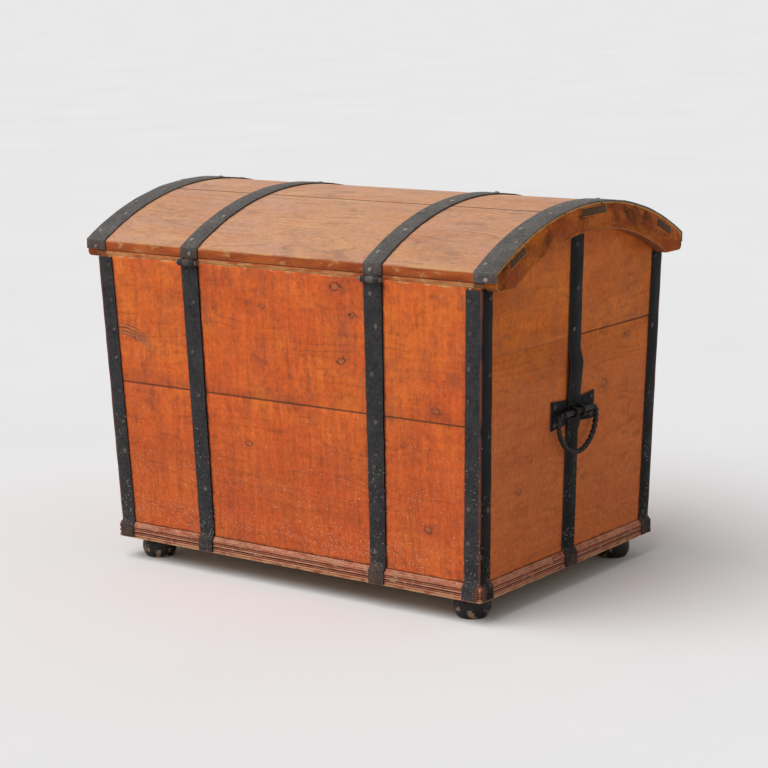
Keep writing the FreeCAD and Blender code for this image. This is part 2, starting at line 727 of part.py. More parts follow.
back_rail = prism("back_rail", "YZ_Plane", [rail_path("depth")], "-past_reach", "past_reach")
back_mitre = doc.addObject("Part::Wedge", "back_mitre")
bind(back_mitre, Ymin="rail_mitre_depth", Ymax="rail_face_depth", Zmin="zero", Z2min="zero")
bind(back_mitre, Zmax="rail_over_z", Z2max="rail_over_z")
bind(back_mitre, Xmin="-rail_mitre_reach", Xmax="rail_mitre_reach", X2min="-rail_face_reach", X2max="rail_face_reach")
place(back_mitre)
keep(common("rail_back", back_rail, back_mitre), "base_moulding_back")
keep(flipped("rail_front", nodes[-1][1], ACROSS), "base_moulding_front")
end_rail = prism("end_rail", "XZ_Plane", [rail_path("reach")], "-past_depth", "past_depth")
end_mitre = turned(doc.addObject("Part::Wedge", "end_mitre"), UPRIGHT, -90)
bind(end_mitre, Ymin="rail_mitre_reach", Ymax="rail_face_reach", Zmin="zero", Z2min="zero")
bind(end_mitre, Zmax="rail_over_z", Z2max="rail_over_z")
bind(end_mitre, Xmin="-rail_mitre_depth", Xmax="rail_mitre_depth", X2min="-rail_face_depth", X2max="rail_face_depth")
place(end_mitre)
pair(common("rail_end", end_rail, end_mitre), "base_moulding")


# Iron bands laid on the walls and bent over the moulding
def foot_path(side, kind):
    """Lower stretch of a band, from the wall above the moulding to its end and back up the outer face."""
    return (
        (f"{side}_rail", "rail_top"),
        (f"rail_lip_{side}", "rail_top"),
        (f"rail_face_{side}", "rail_slope_z"),
        (f"rail_face_{side}", "strap_end_z"),
        (f"{kind}_face_{side}", "strap_end_z"),
        (f"{kind}_face_{side}", f"{kind}_knee_z"),
        (f"{kind}_{side}_{kind}_bend", f"{kind}_bend_z"),
    )


def band_path(side, kind, level, height):
    """Section of a plain band that ends at a level."""
    head = ((f"{kind}_{side}_{level}", height), (f"{side}_{level}", height))
    return foot_path(side, kind) + head


back_flange = prism(
    "back_flange", "YZ_Plane", [band_path("depth", "corner", "iron", "iron_top")], "zero", "past_reach"
)
back_flange_zone = wedge(
    "back_flange_zone", "foot_height", "iron_top", lean("flange_reach", "low", "iron"),
    lean("corner_reach", "low", "iron"), both("zero"), both("past_depth"),
)
end_flange = prism("end_flange", "XZ_Plane", [band_path("reach", "corner", "iron", "iron_top")], "-past_depth", "zero")
end_flange_zone = wedge(
    "end_flange_zone", "foot_height", "iron_top", both("zero"), both("past_reach"),
    lean("flange_depth", "low", "iron"), lean("corner_depth", "low", "iron"),
)
corner_bent = fuse(
    "corner_bent", common("corner_back", back_flange, back_flange_zone),
    common("corner_end", end_flange, end_flange_zone),
)

# Slit that lets the corner iron open out over the moulding
slit = prism("corner_slit", "YZ_Plane", [(
    ("-slit_half", "foot_height"),
    ("slit_half", "foot_height"),
    ("zero", "corner_bend_z"),
)], "-overrun", "overrun")
place(turned(slit, UPRIGHT, 45), "corner_face_reach", "corner_face_depth")
corner = cut("corner", corner_bent, slit)
pair(corner, "corner_iron_back")
pair(flipped("corner_front", corner, ACROSS), "corner_iron_front")

# Long straps, drawn in towards the foot; the back ones carry the hinge eyes
strap_zone = wedge(
    "strap_zone", "foot_height", "seam_height", ("strap_foot_in", "strap_in"), ("strap_foot_out", "strap_out"),
    both("zero"), both("past_depth"),
)
front_band = prism(
    "front_band", "YZ_Plane", [band_path("depth", "strap", "iron", "iron_top")], "zero", "strap_out_past"
)
front_strap = flipped("front_strap", common("front_strap_back", front_band, strap_zone), ACROSS)
pair(front_strap, "front_strap")
back_band = prism(
    "back_band", "YZ_Plane", [band_path("depth", "strap", "seam", "seam_height")], "zero", "strap_out_past"
)
eye = rod("eye", "eye_radius", "strap_in", "strap_out", "hinge_y", "seam_height")
bore = rod("bore", "bore_radius", "strap_in_past", "strap_out_past", "hinge_y", "seam_height")
notch = box("notch", "notch_in", "notch_out", "hinge_in_y", "hinge_out_y", "eye_low_z", "eye_past_z")
back_flat = cut("back_strap_ears", common("back_strap_flat", back_band, strap_zone), notch)
back_strap = fuse("back_strap_solid", back_flat, cut("back_strap_eyes", eye, notch))
pair(cut("back_strap", back_strap, bore), "back_strap")

# Hinge pin, riveted over at both ends
pin_shank = rod("pin_shank", "pin_radius", "pin_in", "pin_out", "hinge_y", "seam_height")
pin_head_in = rod("pin_head_in", "pin_head_radius", "pin_in", "strap_in", "hinge_y", "seam_height")
pin_head_out = rod("pin_head_out", "pin_head_radius", "strap_out", "pin_out", "hinge_y", "seam_height")
pair(fuse("hinge_pin", pin_shank, pin_head_in, pin_head_out), "hinge_pin")


# Straps over the dome
def dome_path(back_end):
    """Section of a strap over the lid whose back leg ends at a height."""
    return (
        ("lid_back_y", back_end),
        ("lid_back_y", "lip_z"),
        ("lid_front_y", "lip_z", "lid_mid_y", "dome_z", "left"),
        ("lid_front_y", "lap_z"),
        ("strap_front_y", "lap_z"),
        ("strap_front_y", "strap_lip_z"),
        ("strap_back_y", "strap_lip_z", "lid_mid_y", "dome_z", "right"),
        ("strap_back_y", back_end),
    )


lid_band = prism("lid_band", "YZ_Plane", [dome_path("seam_height")], "strap_in", "strap_out")
side_notch_in = box("side_notch_in", "strap_in_past", "tongue_in", "hinge_in_y", "hinge_out_y", "eye_under_z",
                    "eye_high_z")
side_notch_out = box("side_notch_out", "tongue_out", "strap_out_past", "hinge_in_y", "hinge_out_y", "eye_under_z",
                     "eye_high_z")
lid_strap = fuse("lid_strap_solid", lid_band, eye)
pair(cut("lid_strap", lid_strap, side_notch_in, side_notch_out, bore), "lid_strap")
pair(prism("lid_end_band", "YZ_Plane", [dome_path("lap_z")], "lid_end_strap_in", "lid_reach"), "lid_end_strap")


# Lid planks with tenons through the end cleats
def tenon(name, half, tilt):
    """Square bar along a plank, standing on the dome's axis and tilted to the plank's place."""
    bar = prism(name, "YZ_Plane", [(
        (minus(half), "tenon_low"),
        (half, "tenon_low"),
        (half, "tenon_high"),
        (minus(half), "tenon_high"),
    )], "-lid_reach", "lid_reach")
    turned(bar, ALONG, 1)
    bar.setExpression(".Placement.Rotation.Angle", rule(tilt))
    return place(bar, "zero", "lid_mid_y", "dome_z")


dome_out = rod("dome_out", "dome_radius", "-plank_reach", "plank_reach", "lid_mid_y", "dome_z")
dome_in = rod("dome_in", "vault_radius", "-past_reach", "past_reach", "lid_mid_y", "dome_z")
dome = cut("dome", dome_out, dome_in)
tenons = []
for name, south, north, half, tilt in (
    ("back", "plank_joint_back", "lid_back_y", "side_tenon_half", "back_tilt"),
    ("middle", "plank_joint_front", "plank_joint_back", "tenon_half", "no_tilt"),
    ("front", "lid_front_y", "plank_joint_front", "side_tenon_half", "front_tilt"),
):
    stave = box(f"{name}_stave", "-plank_reach", "plank_reach", south, north, "seam_height", "crown_z")
    bar = tenon(f"{name}_tenon", half, tilt)
    tenons.append(bar)
    keep(fuse(f"{name}_plank", common(f"{name}_arc", dome, stave), bar), f"lid_plank_{name}")

cleat = prism("cleat_blank", "YZ_Plane", [(
    ("lid_back_y", "lip_z"),
    ("lid_front_y", "lip_z", "lid_mid_y", "dome_z", "left"),
    ("lid_front_y", "cleat_round_z"),
    ("cleat_front_round", "cleat_low_z", "cleat_front_round", "cleat_round_z", "left"),
    ("cleat_front_y", "cleat_low_z"),
    ("cleat_back_y", "cleat_low_z", "lid_mid_y", "cleat_z", "right"),
    ("cleat_back_round", "cleat_low_z"),
    ("lid_back_y", "cleat_round_z", "cleat_back_round", "cleat_round_z", "left"),
)], "plank_reach", "lid_reach")
pair(cut("cleat", cleat, *tenons), "lid_end_cleat")

# Handle plate with hollow edges, lying on the end wall
plate_blank = prism("plate_blank", "YZ_Plane", [(
    ("plate_half", "plate_low_z", "zero", "waist_low_z", "right"),
    ("plate_half", "plate_top_z"),
    ("-plate_half", "plate_top_z", "zero", "waist_top_z", "right"),
    ("-plate_half", "plate_low_z"),
)], "zero", "past_reach")
plate_skin = wedge(
    "plate_skin", "foot_height", "seam_height", lean("reach", "low", "seam"), lean("plate_reach", "low", "seam"),
    both("-plate_half"), both("plate_half"),
)
pair(cut("plate", common("plate_flat", plate_blank, plate_skin), staple_back, staple_front), "handle_plate")

# End strap, bent out above the plate, laid over it and down over the moulding
end_path = foot_path("reach", "strap") + (
    ("strap_reach_ramp", "ramp_z"),
    ("over_plate_plate_low", "plate_low_z"),
    ("over_plate_plate_top", "plate_top_z"),
    ("bulge_low_out", "kink_low_z"),
    ("bulge_out", "kink_z"),
    ("strap_reach_kink_start", "kink_start_z"),
    ("strap_reach_end_top", "end_strap_top"),
    ("reach_end_top", "end_strap_top"),
    ("reach_kink_start", "kink_start_z"),
    ("bulge_in", "kink_z"),
    ("bulge_low_in", "kink_low_z"),
    ("plate_reach_plate_top", "plate_top_z"),
    ("plate_reach_plate_low", "plate_low_z"),
    ("reach_ramp", "ramp_z"),
)
end_band = prism("end_band", "XZ_Plane", [end_path], "-end_strap_half", "end_strap_half")
pair(cut("end_strap", end_band, staple_back, staple_front), "end_strap")

# Ring handle: a square bar twisted along a flat-topped loop
BAR_SIDES = 4
STEPS_A_TURN = 12


def loop_wire():
    """Centre line of the ring, from the middle of its top all the way round."""
    def spot(across, up):
        return FreeCAD.Vector(value("ring_x"), across, value("ring_z") - up)

    half = value("ring_half")
    flat = value("ring_flat")
    corner_size = value("ring_corner")
    corner_mid = corner_size * math.sin(math.radians(45))
    corner_in = corner_size - corner_mid
    return Part.Wire([
        Part.makeLine(spot(0, 0), spot(flat, 0)),
        Part.Arc(spot(flat, 0), spot(flat + corner_mid, corner_in), spot(half, corner_size)).toShape(),
        Part.Arc(spot(half, corner_size), spot(0, corner_size + half), spot(-half, corner_size)).toShape(),
        Part.Arc(spot(-half, corner_size), spot(-flat - corner_mid, corner_in), spot(-flat, 0)).toShape(),
        Part.makeLine(spot(-flat, 0), spot(0, 0)),
    ])


def bar_corners(before, spot, after, angle):
    """Corners of the bar's square section where the loop passes a spot, turned by an angle."""
    outward = (after - before).normalize().cross(ALONG)
    corners = []
    for side in range(BAR_SIDES):
        turn = math.radians(angle + 360 * side / BAR_SIDES)
        corners.append(spot + (ALONG * math.cos(turn) + outward * math.sin(turn)) * value("bar_radius"))
    return corners


def twisted_ring():
    """Closed solid of the twisted bar, in whole turns so that its ends meet."""
    line = loop_wire()
    turns = round(line.Length / value("twist_pitch"))
    count = turns * STEPS_A_TURN
    spots = line.discretize(Number=count + 1)[:count]
    sections = []
    for index, spot in enumerate(spots):
        angle = 360 * index / STEPS_A_TURN
        sections.append(bar_corners(spots[index - 1], spot, spots[(index + 1) % count], angle))
    faces = []
    for index, section in enumerate(sections):
        onward = sections[(index + 1) % count]
        for side in range(BAR_SIDES):
            beside = (side + 1) % BAR_SIDES
            edge = Part.makeLine(section[side], section[beside])
            faces.append(Part.makeRuledSurface(edge, Part.makeLine(onward[side], onward[beside])))
    shell = Part.Shell(faces)
    shell.sewShape()
    solid = Part.Solid(Part.Shell(shell.Faces))
    return solid if solid.Volume > 0 else solid.reversed()


ring_bar = doc.addObject("Part::Feature", "ring_twisted")
ring_bar.Shape = twisted_ring()
place(ring_bar)

# Plain round stretch along the ring's top, where it turns in the staples
journal = turned(doc.addObject("Part::Cylinder", "ring_journal"), ALONG, -90)
bind(journal, Radius="journal_radius")
journal.setExpression("Height", "2 * sizes.journal_half")
place(journal, "ring_x", "-journal_half", "ring_z")
pair(fuse("ring", ring_bar, journal), "handle_ring")

# Chest lock: a tray closed by the front board, with a ledge that carries the bolt
lock_block = wedge(
    "lock_block", "lock_low", "lock_top", both("-lock_half"), both("lock_half"),
    opposed(lean("inner_depth", "lock_low", "lock_top")), opposed(lean("lock_back", "lock_low", "lock_top")),
)
lock_room = wedge(
    "lock_room", "lock_room_low", "lock_room_top", both("-lock_room_half"), both("lock_room_half"), both("-past_depth"),
    opposed(lean("lock_bay", "lock_room_low", "lock_room_top")),
)
lock_slot = box("lock_slot", "-slot_half", "slot_half", "slot_front_y", "slot_back_y", "lock_room_top", "slot_past_z")
lock_ledge = box("lock_ledge", "-lock_half", "bolt_tip", "bolt_front_y", "ledge_back_y", "ledge_low", "bolt_low")
lock_tray = cut("lock_tray", lock_block, lock_room, lock_slot)
keep(fuse("lock_case", lock_tray, lock_ledge), "lock_case")
keep(
    box("lock_bolt", "bolt_tail", "bolt_tip", "bolt_front_y", "bolt_back_y", "bolt_low", "bolt_top"), "lock_bolt"
)

# Lock staple under the lid's front plank
catch_bar = box("catch_bar", "-catch_half", "catch_half", "catch_front_y", "catch_back_y", "catch_low", "catch_past_z")
catch_window = box(
    "catch_window", "-slot_half", "slot_half", "window_front_y", "window_back_y", "window_low", "window_high"
)
catch_loop = common("catch_loop", cut("catch_frame", catch_bar, catch_window), dome_in)
plate_in = rod("catch_plate_in", "catch_plate_radius", "-past_reach", "past_reach", "lid_mid_y", "dome_z")
catch_pad = box(
    "catch_pad", "-catch_plate_half", "catch_plate_half", "catch_front_y", "catch_back_y", "seam_height", "crown_z"
)
catch_plate = common("catch_plate", cut("catch_shell", dome_in, plate_in), catch_pad)
keep(fuse("lock_staple", catch_loop, catch_plate), "lock_staple")

doc.recompute()
broken = [thing.Name for thing in doc.Objects if "Invalid" in thing.State or "Error" in thing.State]
broken += [label for label, piece in nodes if piece.Shape.isNull() or not piece.Shape.isValid()]
if broken:
    raise RuntimeError("pieces that failed: " + ", ".join(broken))

os.makedirs("parts", exist_ok=True)
for label, piece in nodes:
    piece.Shape.exportStep(f"parts/{label}.step")
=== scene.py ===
"""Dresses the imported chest: worn milk paint, varnish, blackened iron and hand-made nails, in a pale studio."""

import json
import logging
import math
import random
from abc import ABC, abstractmethod
from collections.abc import Callable
from dataclasses import dataclass, field, replace
from enum import Enum
from types import SimpleNamespace
from typing import Any

import bmesh
import bpy
from mathutils import Matrix, Vector, noise
from mathutils.bvhtree import BVHTree

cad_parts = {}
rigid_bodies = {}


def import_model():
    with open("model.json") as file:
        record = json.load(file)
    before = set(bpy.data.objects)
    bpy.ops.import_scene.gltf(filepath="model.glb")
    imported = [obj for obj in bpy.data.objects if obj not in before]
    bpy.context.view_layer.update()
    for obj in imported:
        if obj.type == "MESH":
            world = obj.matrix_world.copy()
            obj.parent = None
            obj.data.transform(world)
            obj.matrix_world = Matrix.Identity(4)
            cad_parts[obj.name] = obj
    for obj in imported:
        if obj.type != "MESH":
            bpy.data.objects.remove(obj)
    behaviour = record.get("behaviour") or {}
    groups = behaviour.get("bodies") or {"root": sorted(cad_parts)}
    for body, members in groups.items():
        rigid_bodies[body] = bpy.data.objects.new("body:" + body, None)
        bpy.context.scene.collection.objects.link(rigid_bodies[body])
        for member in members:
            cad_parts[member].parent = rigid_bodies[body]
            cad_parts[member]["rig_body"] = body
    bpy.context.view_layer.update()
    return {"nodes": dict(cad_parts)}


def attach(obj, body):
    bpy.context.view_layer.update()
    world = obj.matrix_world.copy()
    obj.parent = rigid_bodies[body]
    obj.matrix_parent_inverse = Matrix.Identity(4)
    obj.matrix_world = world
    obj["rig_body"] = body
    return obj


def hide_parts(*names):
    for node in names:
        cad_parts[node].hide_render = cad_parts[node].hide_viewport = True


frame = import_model()

logging.basicConfig(level=logging.INFO, format="%(message)s")
LOG = logging.getLogger("chest")

Triple = tuple[float, float, float]
Spot = tuple[Vector, Vector]
ORIGIN = (0.0, 0.0, 0.0)
SIDES = ("left", "right")
DEPTHS = ("back", "front")
ROWS = ("back", "middle", "front")

# The chest's own measures, in metres, that the paint and the nails follow.
MID_Y = 0.00725
SEAM_Z = 0.605
SEAM_REACH, REACH_LEAN = 0.4475, 0.0410646
SEAM_DEPTH, DEPTH_LEAN = 0.3025, 0.0262357
BACK_JOINT_Z = 0.358
END_JOINT_Z = 0.478
LIP_Z = 0.632
SCRIBE_Z = SEAM_Z + 0.0088
LID_MID_Y = -0.00525
DOME_Z = 0.11906
DOME_RADIUS = 0.60194
VAULT_RADIUS = 0.57394
PLANK_JOINT = 0.100
TENON_END = 0.478
FOOT_Z = 0.043
RAIL_Z = 0.074
REED_PITCH = 0.00833
IRON = 0.0025
FLANGE = 0.031
STRAP_TOP_Z = 0.667
STRAP_PLACE, STRAP_HALF = (0.205, 0.216), (0.017, 0.020)
END_STRAP_HALF = 0.0195
LID_STRAP_X, LID_STRAP_HALF = 0.216, 0.020
LID_END_STRAP_X, LID_END_STRAP_IN = 0.456, 0.4325

# How finely meshes are worked: points that count as one, and angles in degrees.
MERGE = 1e-7
FLAT_ANGLE = 0.5
SMOOTH_ANGLE = 24.0


class GrainWay(Enum):
    """The way that the grain of a board runs."""

    ALONG_X = "along_x"
    ALONG_Y = "along_y"


class Axis(Enum):
    """An axis of the frame that cuts are stepped along."""

    X = 0
    Y = 1
    Z = 2


def wall_reach(z: float) -> float:
    """Half length of the tapering body at a height."""
    return SEAM_REACH - REACH_LEAN * (SEAM_Z - z)


def wall_depth(z: float) -> float:
    """Half depth of the tapering body at a height."""
    return SEAM_DEPTH - DEPTH_LEAN * (SEAM_Z - z)


class Wire:
    """A value in a node tree, to reckon with like a number: each operation adds a Math node."""

    def __init__(self, graph: "Graph", socket: bpy.types.NodeSocket) -> None:
        """Keeps the graph and the socket that the value comes from."""
        self.graph, self.socket = graph, socket

    def __add__(self, other: Any) -> "Wire":
        """The sum."""
        return self.graph.math("ADD", self, other)

    def __sub__(self, other: Any) -> "Wire":
        """This value less another."""
        return self.graph.math("SUBTRACT", self, other)

    def __rsub__(self, other: float) -> "Wire":
        """A number less this value."""
        return self.graph.math("SUBTRACT", other, self)

    def __mul__(self, other: Any) -> "Wire":
        """The product."""
        return self.graph.math("MULTIPLY", self, other)

    def __truediv__(self, other: Any) -> "Wire":
        """The quotient."""
        return self.graph.math("DIVIDE", self, other)

    def __or__(self, other: Any) -> "Wire":
        """The stronger of two masks."""
        return self.graph.math("MAXIMUM", self, other)

    def __lt__(self, other: Any) -> "Wire":
        """A mask of where this value is the lower one."""
        return self.graph.math("LESS_THAN", self, other)

    def __gt__(self, other: Any) -> "Wire":
        """A mask of where this value is the higher one."""
        return self.graph.math("GREATER_THAN", self, other)

    def __abs__(self) -> "Wire":
        """The value without its sign."""
        return self.graph.math("ABSOLUTE", self)

    def ramp(self, low: Any, high: Any, start: float = 0.0, end: float = 1.0, held: bool = True) -> "Wire":
        """Maps the range from low to high onto start to end, and may hold it there."""
        inputs = dict(enumerate((self, low, high, start, end)))
        return self.graph.node("ShaderNodeMapRange", inputs, clamp=held)[0]


class Graph:
    """Short hand for wiring one node tree."""

    def __init__(self, tree: bpy.types.NodeTree) -> None:
        """Keeps the tree that the nodes go into."""
        self.tree = tree

    def feed(self, socket: bpy.types.NodeSocket, value: Any) -> None:
        """Links a wire to an input, or sets a plain value on it.

        Args:
            socket: the input.
            value: a wire, a number, a vector, a colour or a name.
        """
        if isinstance(value, Wire):
            self.tree.links.new(value.socket, socket)
        elif socket.type == "RGBA":
            socket.default_value = (*value, 1.0)
        else:
            socket.default_value = value

    def node(self, kind: str, inputs: dict[Any, Any], **settings: Any) -> list[Wire]:
        """Adds a node and feeds it.

        Args:
            kind: Blender's name of the node type.
            inputs: values by the name or the number of the input.
            settings: properties of the node.

        Returns:
            Its outputs.
        """
        node = self.tree.nodes.new(kind)
        for key, value in settings.items():
            setattr(node, key, value)
        for key, value in inputs.items():
            self.feed(node.inputs[key], value)
        return [Wire(self, socket) for socket in node.outputs]

    def math(self, operation: str, first: Any, second: Any = 0.0, clamp: bool = False) -> Wire:
        """The result of a Math node."""
        return self.node("ShaderNodeMath", {0: first, 1: second}, operation=operation, use_clamp=clamp)[0]

    def hypot(self, first: Wire, second: Wire) -> Wire:
        """How far a point is from the middle, by its two distances."""
        return self.math("SQRT", first * first + second * second)

    def mix(self, share: Any, first: Any, second: Any, blend: str = "MIX") -> Wire:
        """Mixes a share of the second colour into the first."""
        return self.node("ShaderNodeMix", {0: share, 6: first, 7: second}, data_type="RGBA", blend_type=blend)[2]

    def stretch(self, vector: Wire, scale: Triple, place: Triple = ORIGIN) -> Wire:
        """Scales and shifts coordinates."""
        return self.node("ShaderNodeMapping", {"Vector": vector, "Location": place, "Scale": scale})[0]

    def noise(self, vector: Wire, scale: Any, detail: float = 3.0, rough: float = 0.5, warp: float = 0.0) -> Wire:
        """A noise from 0 to 1, with so many features to a metre, finer layers and a distortion."""
        inputs = {"Vector": vector, "Scale": scale, "Detail": detail, "Roughness": rough, "Distortion": warp}
        return self.node("ShaderNodeTexNoise", inputs)[0]

    def split(self, vector: Wire) -> list[Wire]:
        """Takes a vector apart into X, Y and Z."""
        return self.node("ShaderNodeSeparateXYZ", {0: vector})

    def join(self, x: Any, y: Any, z: Any) -> Wire:
        """Puts X, Y and Z together as a vector."""
        return self.node("ShaderNodeCombineXYZ", {0: x, 1: y, 2: z})[0]

    def use(self, group: bpy.types.ShaderNodeTree, *inputs: Any) -> SimpleNamespace:
        """Places a shared group.

        Args:
            group: the group.
            inputs: values for its inputs, in their order.

        Returns:
            Its outputs by name.
        """
        outputs = self.node("ShaderNodeGroup", {}, node_tree=group)
        for socket, value in zip(outputs[0].socket.node.inputs, inputs):
            self.feed(socket, value)
        return SimpleNamespace(**{wire.socket.name.lower(): wire for wire in outputs})


class Effects:
    """The shader groups that the finishes share, each built once."""

    def __init__(self) -> None:
        """Builds every group."""
        self.grain = self._share("board_grain", self._grain, vector=ORIGIN, rings=20.0)
        self.blotch = self._share("patches", self._blotch, vector=ORIGIN, scale=10.0, low=0.45, high=0.6)
        self.speck = self._share("spatter", self._speck, vector=ORIGIN, scale=150.0, amount=0.2, size=0.35)
        self.knot = self._share("knot", self._knot, vector=ORIGIN, across=0.0, up=0.0, size=0.012)
        self.split = self._share("split_grain", self._split, vector=ORIGIN, across=0.0, up=0.0)
        self.wear = self._share("edge_wear", self._wear, edge=0.0, vector=ORIGIN, scale=60.0, amount=0.5)
        self.brush = self._share("brush_marks", self._brush, vector=ORIGIN)
        self.ledge = self._share("strap_shade", self._ledge, vector=ORIGIN, outside=0.0, reach=0.005)

    @staticmethod
    def _share(name: str, effect: Callable[..., dict[str, Wire]], **inputs: Any) -> bpy.types.ShaderNodeTree:
        """Builds one group.

        Args:
            name: the group's name.
            effect: wires the group's inputs, and gives its outputs by name.
            inputs: default values by input name.

        Returns:
            The group.
        """
        tree = bpy.data.node_groups.new(name, "ShaderNodeTree")
        for key, value in inputs.items():
            kind = "NodeSocketVector" if isinstance(value, tuple) else "NodeSocketFloat"
            tree.interface.new_socket(key.title(), in_out="INPUT", socket_type=kind).default_value = value
        graph = Graph(tree)
        outputs = effect(graph, *graph.node("NodeGroupInput", {})[: len(inputs)])
        for key in outputs:
            tree.interface.new_socket(key.title(), in_out="OUTPUT", socket_type="NodeSocketFloat")
        graph.node("NodeGroupOutput", {key.title(): wire for key, wire in outputs.items()})
        return tree

    @staticmethod
    def _grain(g: Graph, vector: Wire, rings: Wire) -> dict[str, Wire]:
        """Wood grain along the vector's X: soft streaks, growth rings and short pores.

        Args:
            g: the group's graph.
            vector: coordinates with X along the grain.
            rings: how many growth rings cross the board.

        Returns:
            The outputs by name.
        """
        streak = g.noise(g.stretch(vector, (4.0, 95.0, 95.0)), 1.0, 5.0, 0.65)
        years = g.noise(g.stretch(vector, (1.5, 8.0, 8.0)), 1.0, 2.5, 0.45, 0.2)
        lines = g.math("PINGPONG", years * rings, 0.5)
        broken = g.noise(g.stretch(vector, (14.0, 40.0, 40.0), (3.0, 1.0, 2.0)), 1.0).ramp(0.42, 0.6)
        pores = g.noise(g.stretch(vector, (90.0, 420.0, 420.0)), 1.0, 2.0)
        return {
            "streak": streak.ramp(0.3, 0.7), "ring": lines.ramp(0.3, 0.5) * broken, "pore": pores.ramp(0.62, 0.72)
        }

    @staticmethod
    def _blotch(g: Graph, vector: Wire, scale: Wire, low: Wire, high: Wire) -> dict[str, Wire]:
        """Uneven patches, from a noise cut between two levels."""
        return {"mask": g.noise(vector, scale, 6.0, 0.6, 0.2).ramp(low, high)}

    @staticmethod
    def _speck(g: Graph, vector: Wire, scale: Wire, amount: Wire, size: Wire) -> dict[str, Wire]:
        """Small round spatters of uneven size.

        Args:
            g: the group's graph.
            vector: coordinates.
            scale: how many cells there are to a metre.
            amount: the share of cells that hold a spatter.
            size: how large a spatter is in its cell.

        Returns:
            The outputs by name.
        """
        far, cell, *_ = g.node("ShaderNodeTexVoronoi", {"Vector": vector, "Scale": scale})
        chance, spread, _ = g.split(cell)
        inside = g.math("MULTIPLY", size * (spread * 0.8 + 0.25) - far, 10.0, clamp=True)
        return {"mask": inside * (chance < amount)}

    @staticmethod
    def _knot(g: Graph, vector: Wire, across: Wire, up: Wire, size: Wire) -> dict[str, Wire]:
        """A knot in the plane of X (along the grain) and Z: its pale core, its dark ring and its halo.

        Args:
            g: the group's graph.
            vector: coordinates with X along the grain.
            across: its place along the grain.
            up: its height.
            size: the knot's radius, in metres.

        Returns:
            The outputs by name.
        """
        x, _, z = g.split(vector)
        wobble = (g.noise(vector, 90.0, 2.0) - 0.5) * 0.012
        radius = g.hypot((x - across + wobble) * 0.62, z - up + wobble) / size
        crack = g.noise(vector, 260.0).ramp(0.42, 0.6)
        rim = abs(radius - 0.8).ramp(0.42, 0.1) * crack
        return {"eye": radius.ramp(0.75, 0.3), "ring": rim, "halo": radius.ramp(2.8, 0.6)}

    @staticmethod
    def _split(g: Graph, vector: Wire, across: Wire, up: Wire) -> dict[str, Wire]:
        """Lifted grain beside a knot: long dark splits that bend down towards it, with raw wood between them.

        Args:
            g: the group's graph.
            vector: coordinates with X along the grain.
            across: its place along the grain.
            up: its height.

        Returns:
            The outputs by name.
        """
        x, _, z = g.split(vector)
        waver = (g.noise(g.stretch(vector, (30.0, 30.0, 60.0)), 1.0) - 0.5) * 0.007
        along = x - across
        back = g.math("MINIMUM", along - 0.052, 0.0)
        below = up + 0.027 - z + waver - back * back * 3.0
        inside = below.ramp(-0.001, 0.002) * below.ramp(0.031, 0.024) * along.ramp(-0.042, -0.018)
        lines = g.math("PINGPONG", below / 0.0064, 0.5)
        patchy = g.noise(g.stretch(vector, (20.0, 20.0, 120.0)), 1.0).ramp(0.36, 0.52)
        return {"line": lines.ramp(0.17, 0.04) * inside * patchy, "raw": inside * below.ramp(0.002, 0.022, 0.25, 1.0)}

    @staticmethod
    def _wear(g: Graph, edge: Wire, vector: Wire, scale: Wire, amount: Wire) -> dict[str, Wire]:
        """Rubbed edges: a mask that a noise breaks up."""
        rub = g.noise(vector, scale, 5.0, 0.65) + (amount - 0.5)
        return {"mask": (edge * rub.ramp(0.35, 0.62)).ramp(0.12, 0.55)}

    @staticmethod
    def _brush(g: Graph, vector: Wire) -> dict[str, Wire]:
        """Upright brush strokes and a finer unevenness of the paint, each about a level of one half."""
        stroke = g.noise(g.stretch(vector, (85.0, 85.0, 8.0)), 1.0, 5.0, 0.66, 0.5)
        return {"stroke": stroke, "fine": g.noise(g.stretch(vector, (1.0, 1.0, 0.7)), 150.0, 4.0, 0.68, 0.3)}

    @staticmethod
    def _ledge(g: Graph, vector: Wire, outside: Wire, reach: Wire) -> dict[str, Wire]:
        """The dark line of painted shade and dirt beside a strap, by the distance outside the strap's edge."""
        rag = g.noise(vector, 55.0, 4.0).ramp(0.3, 0.7, 0.35, 1.4)
        return {"mask": outside.ramp(reach * rag, 0.0005)}


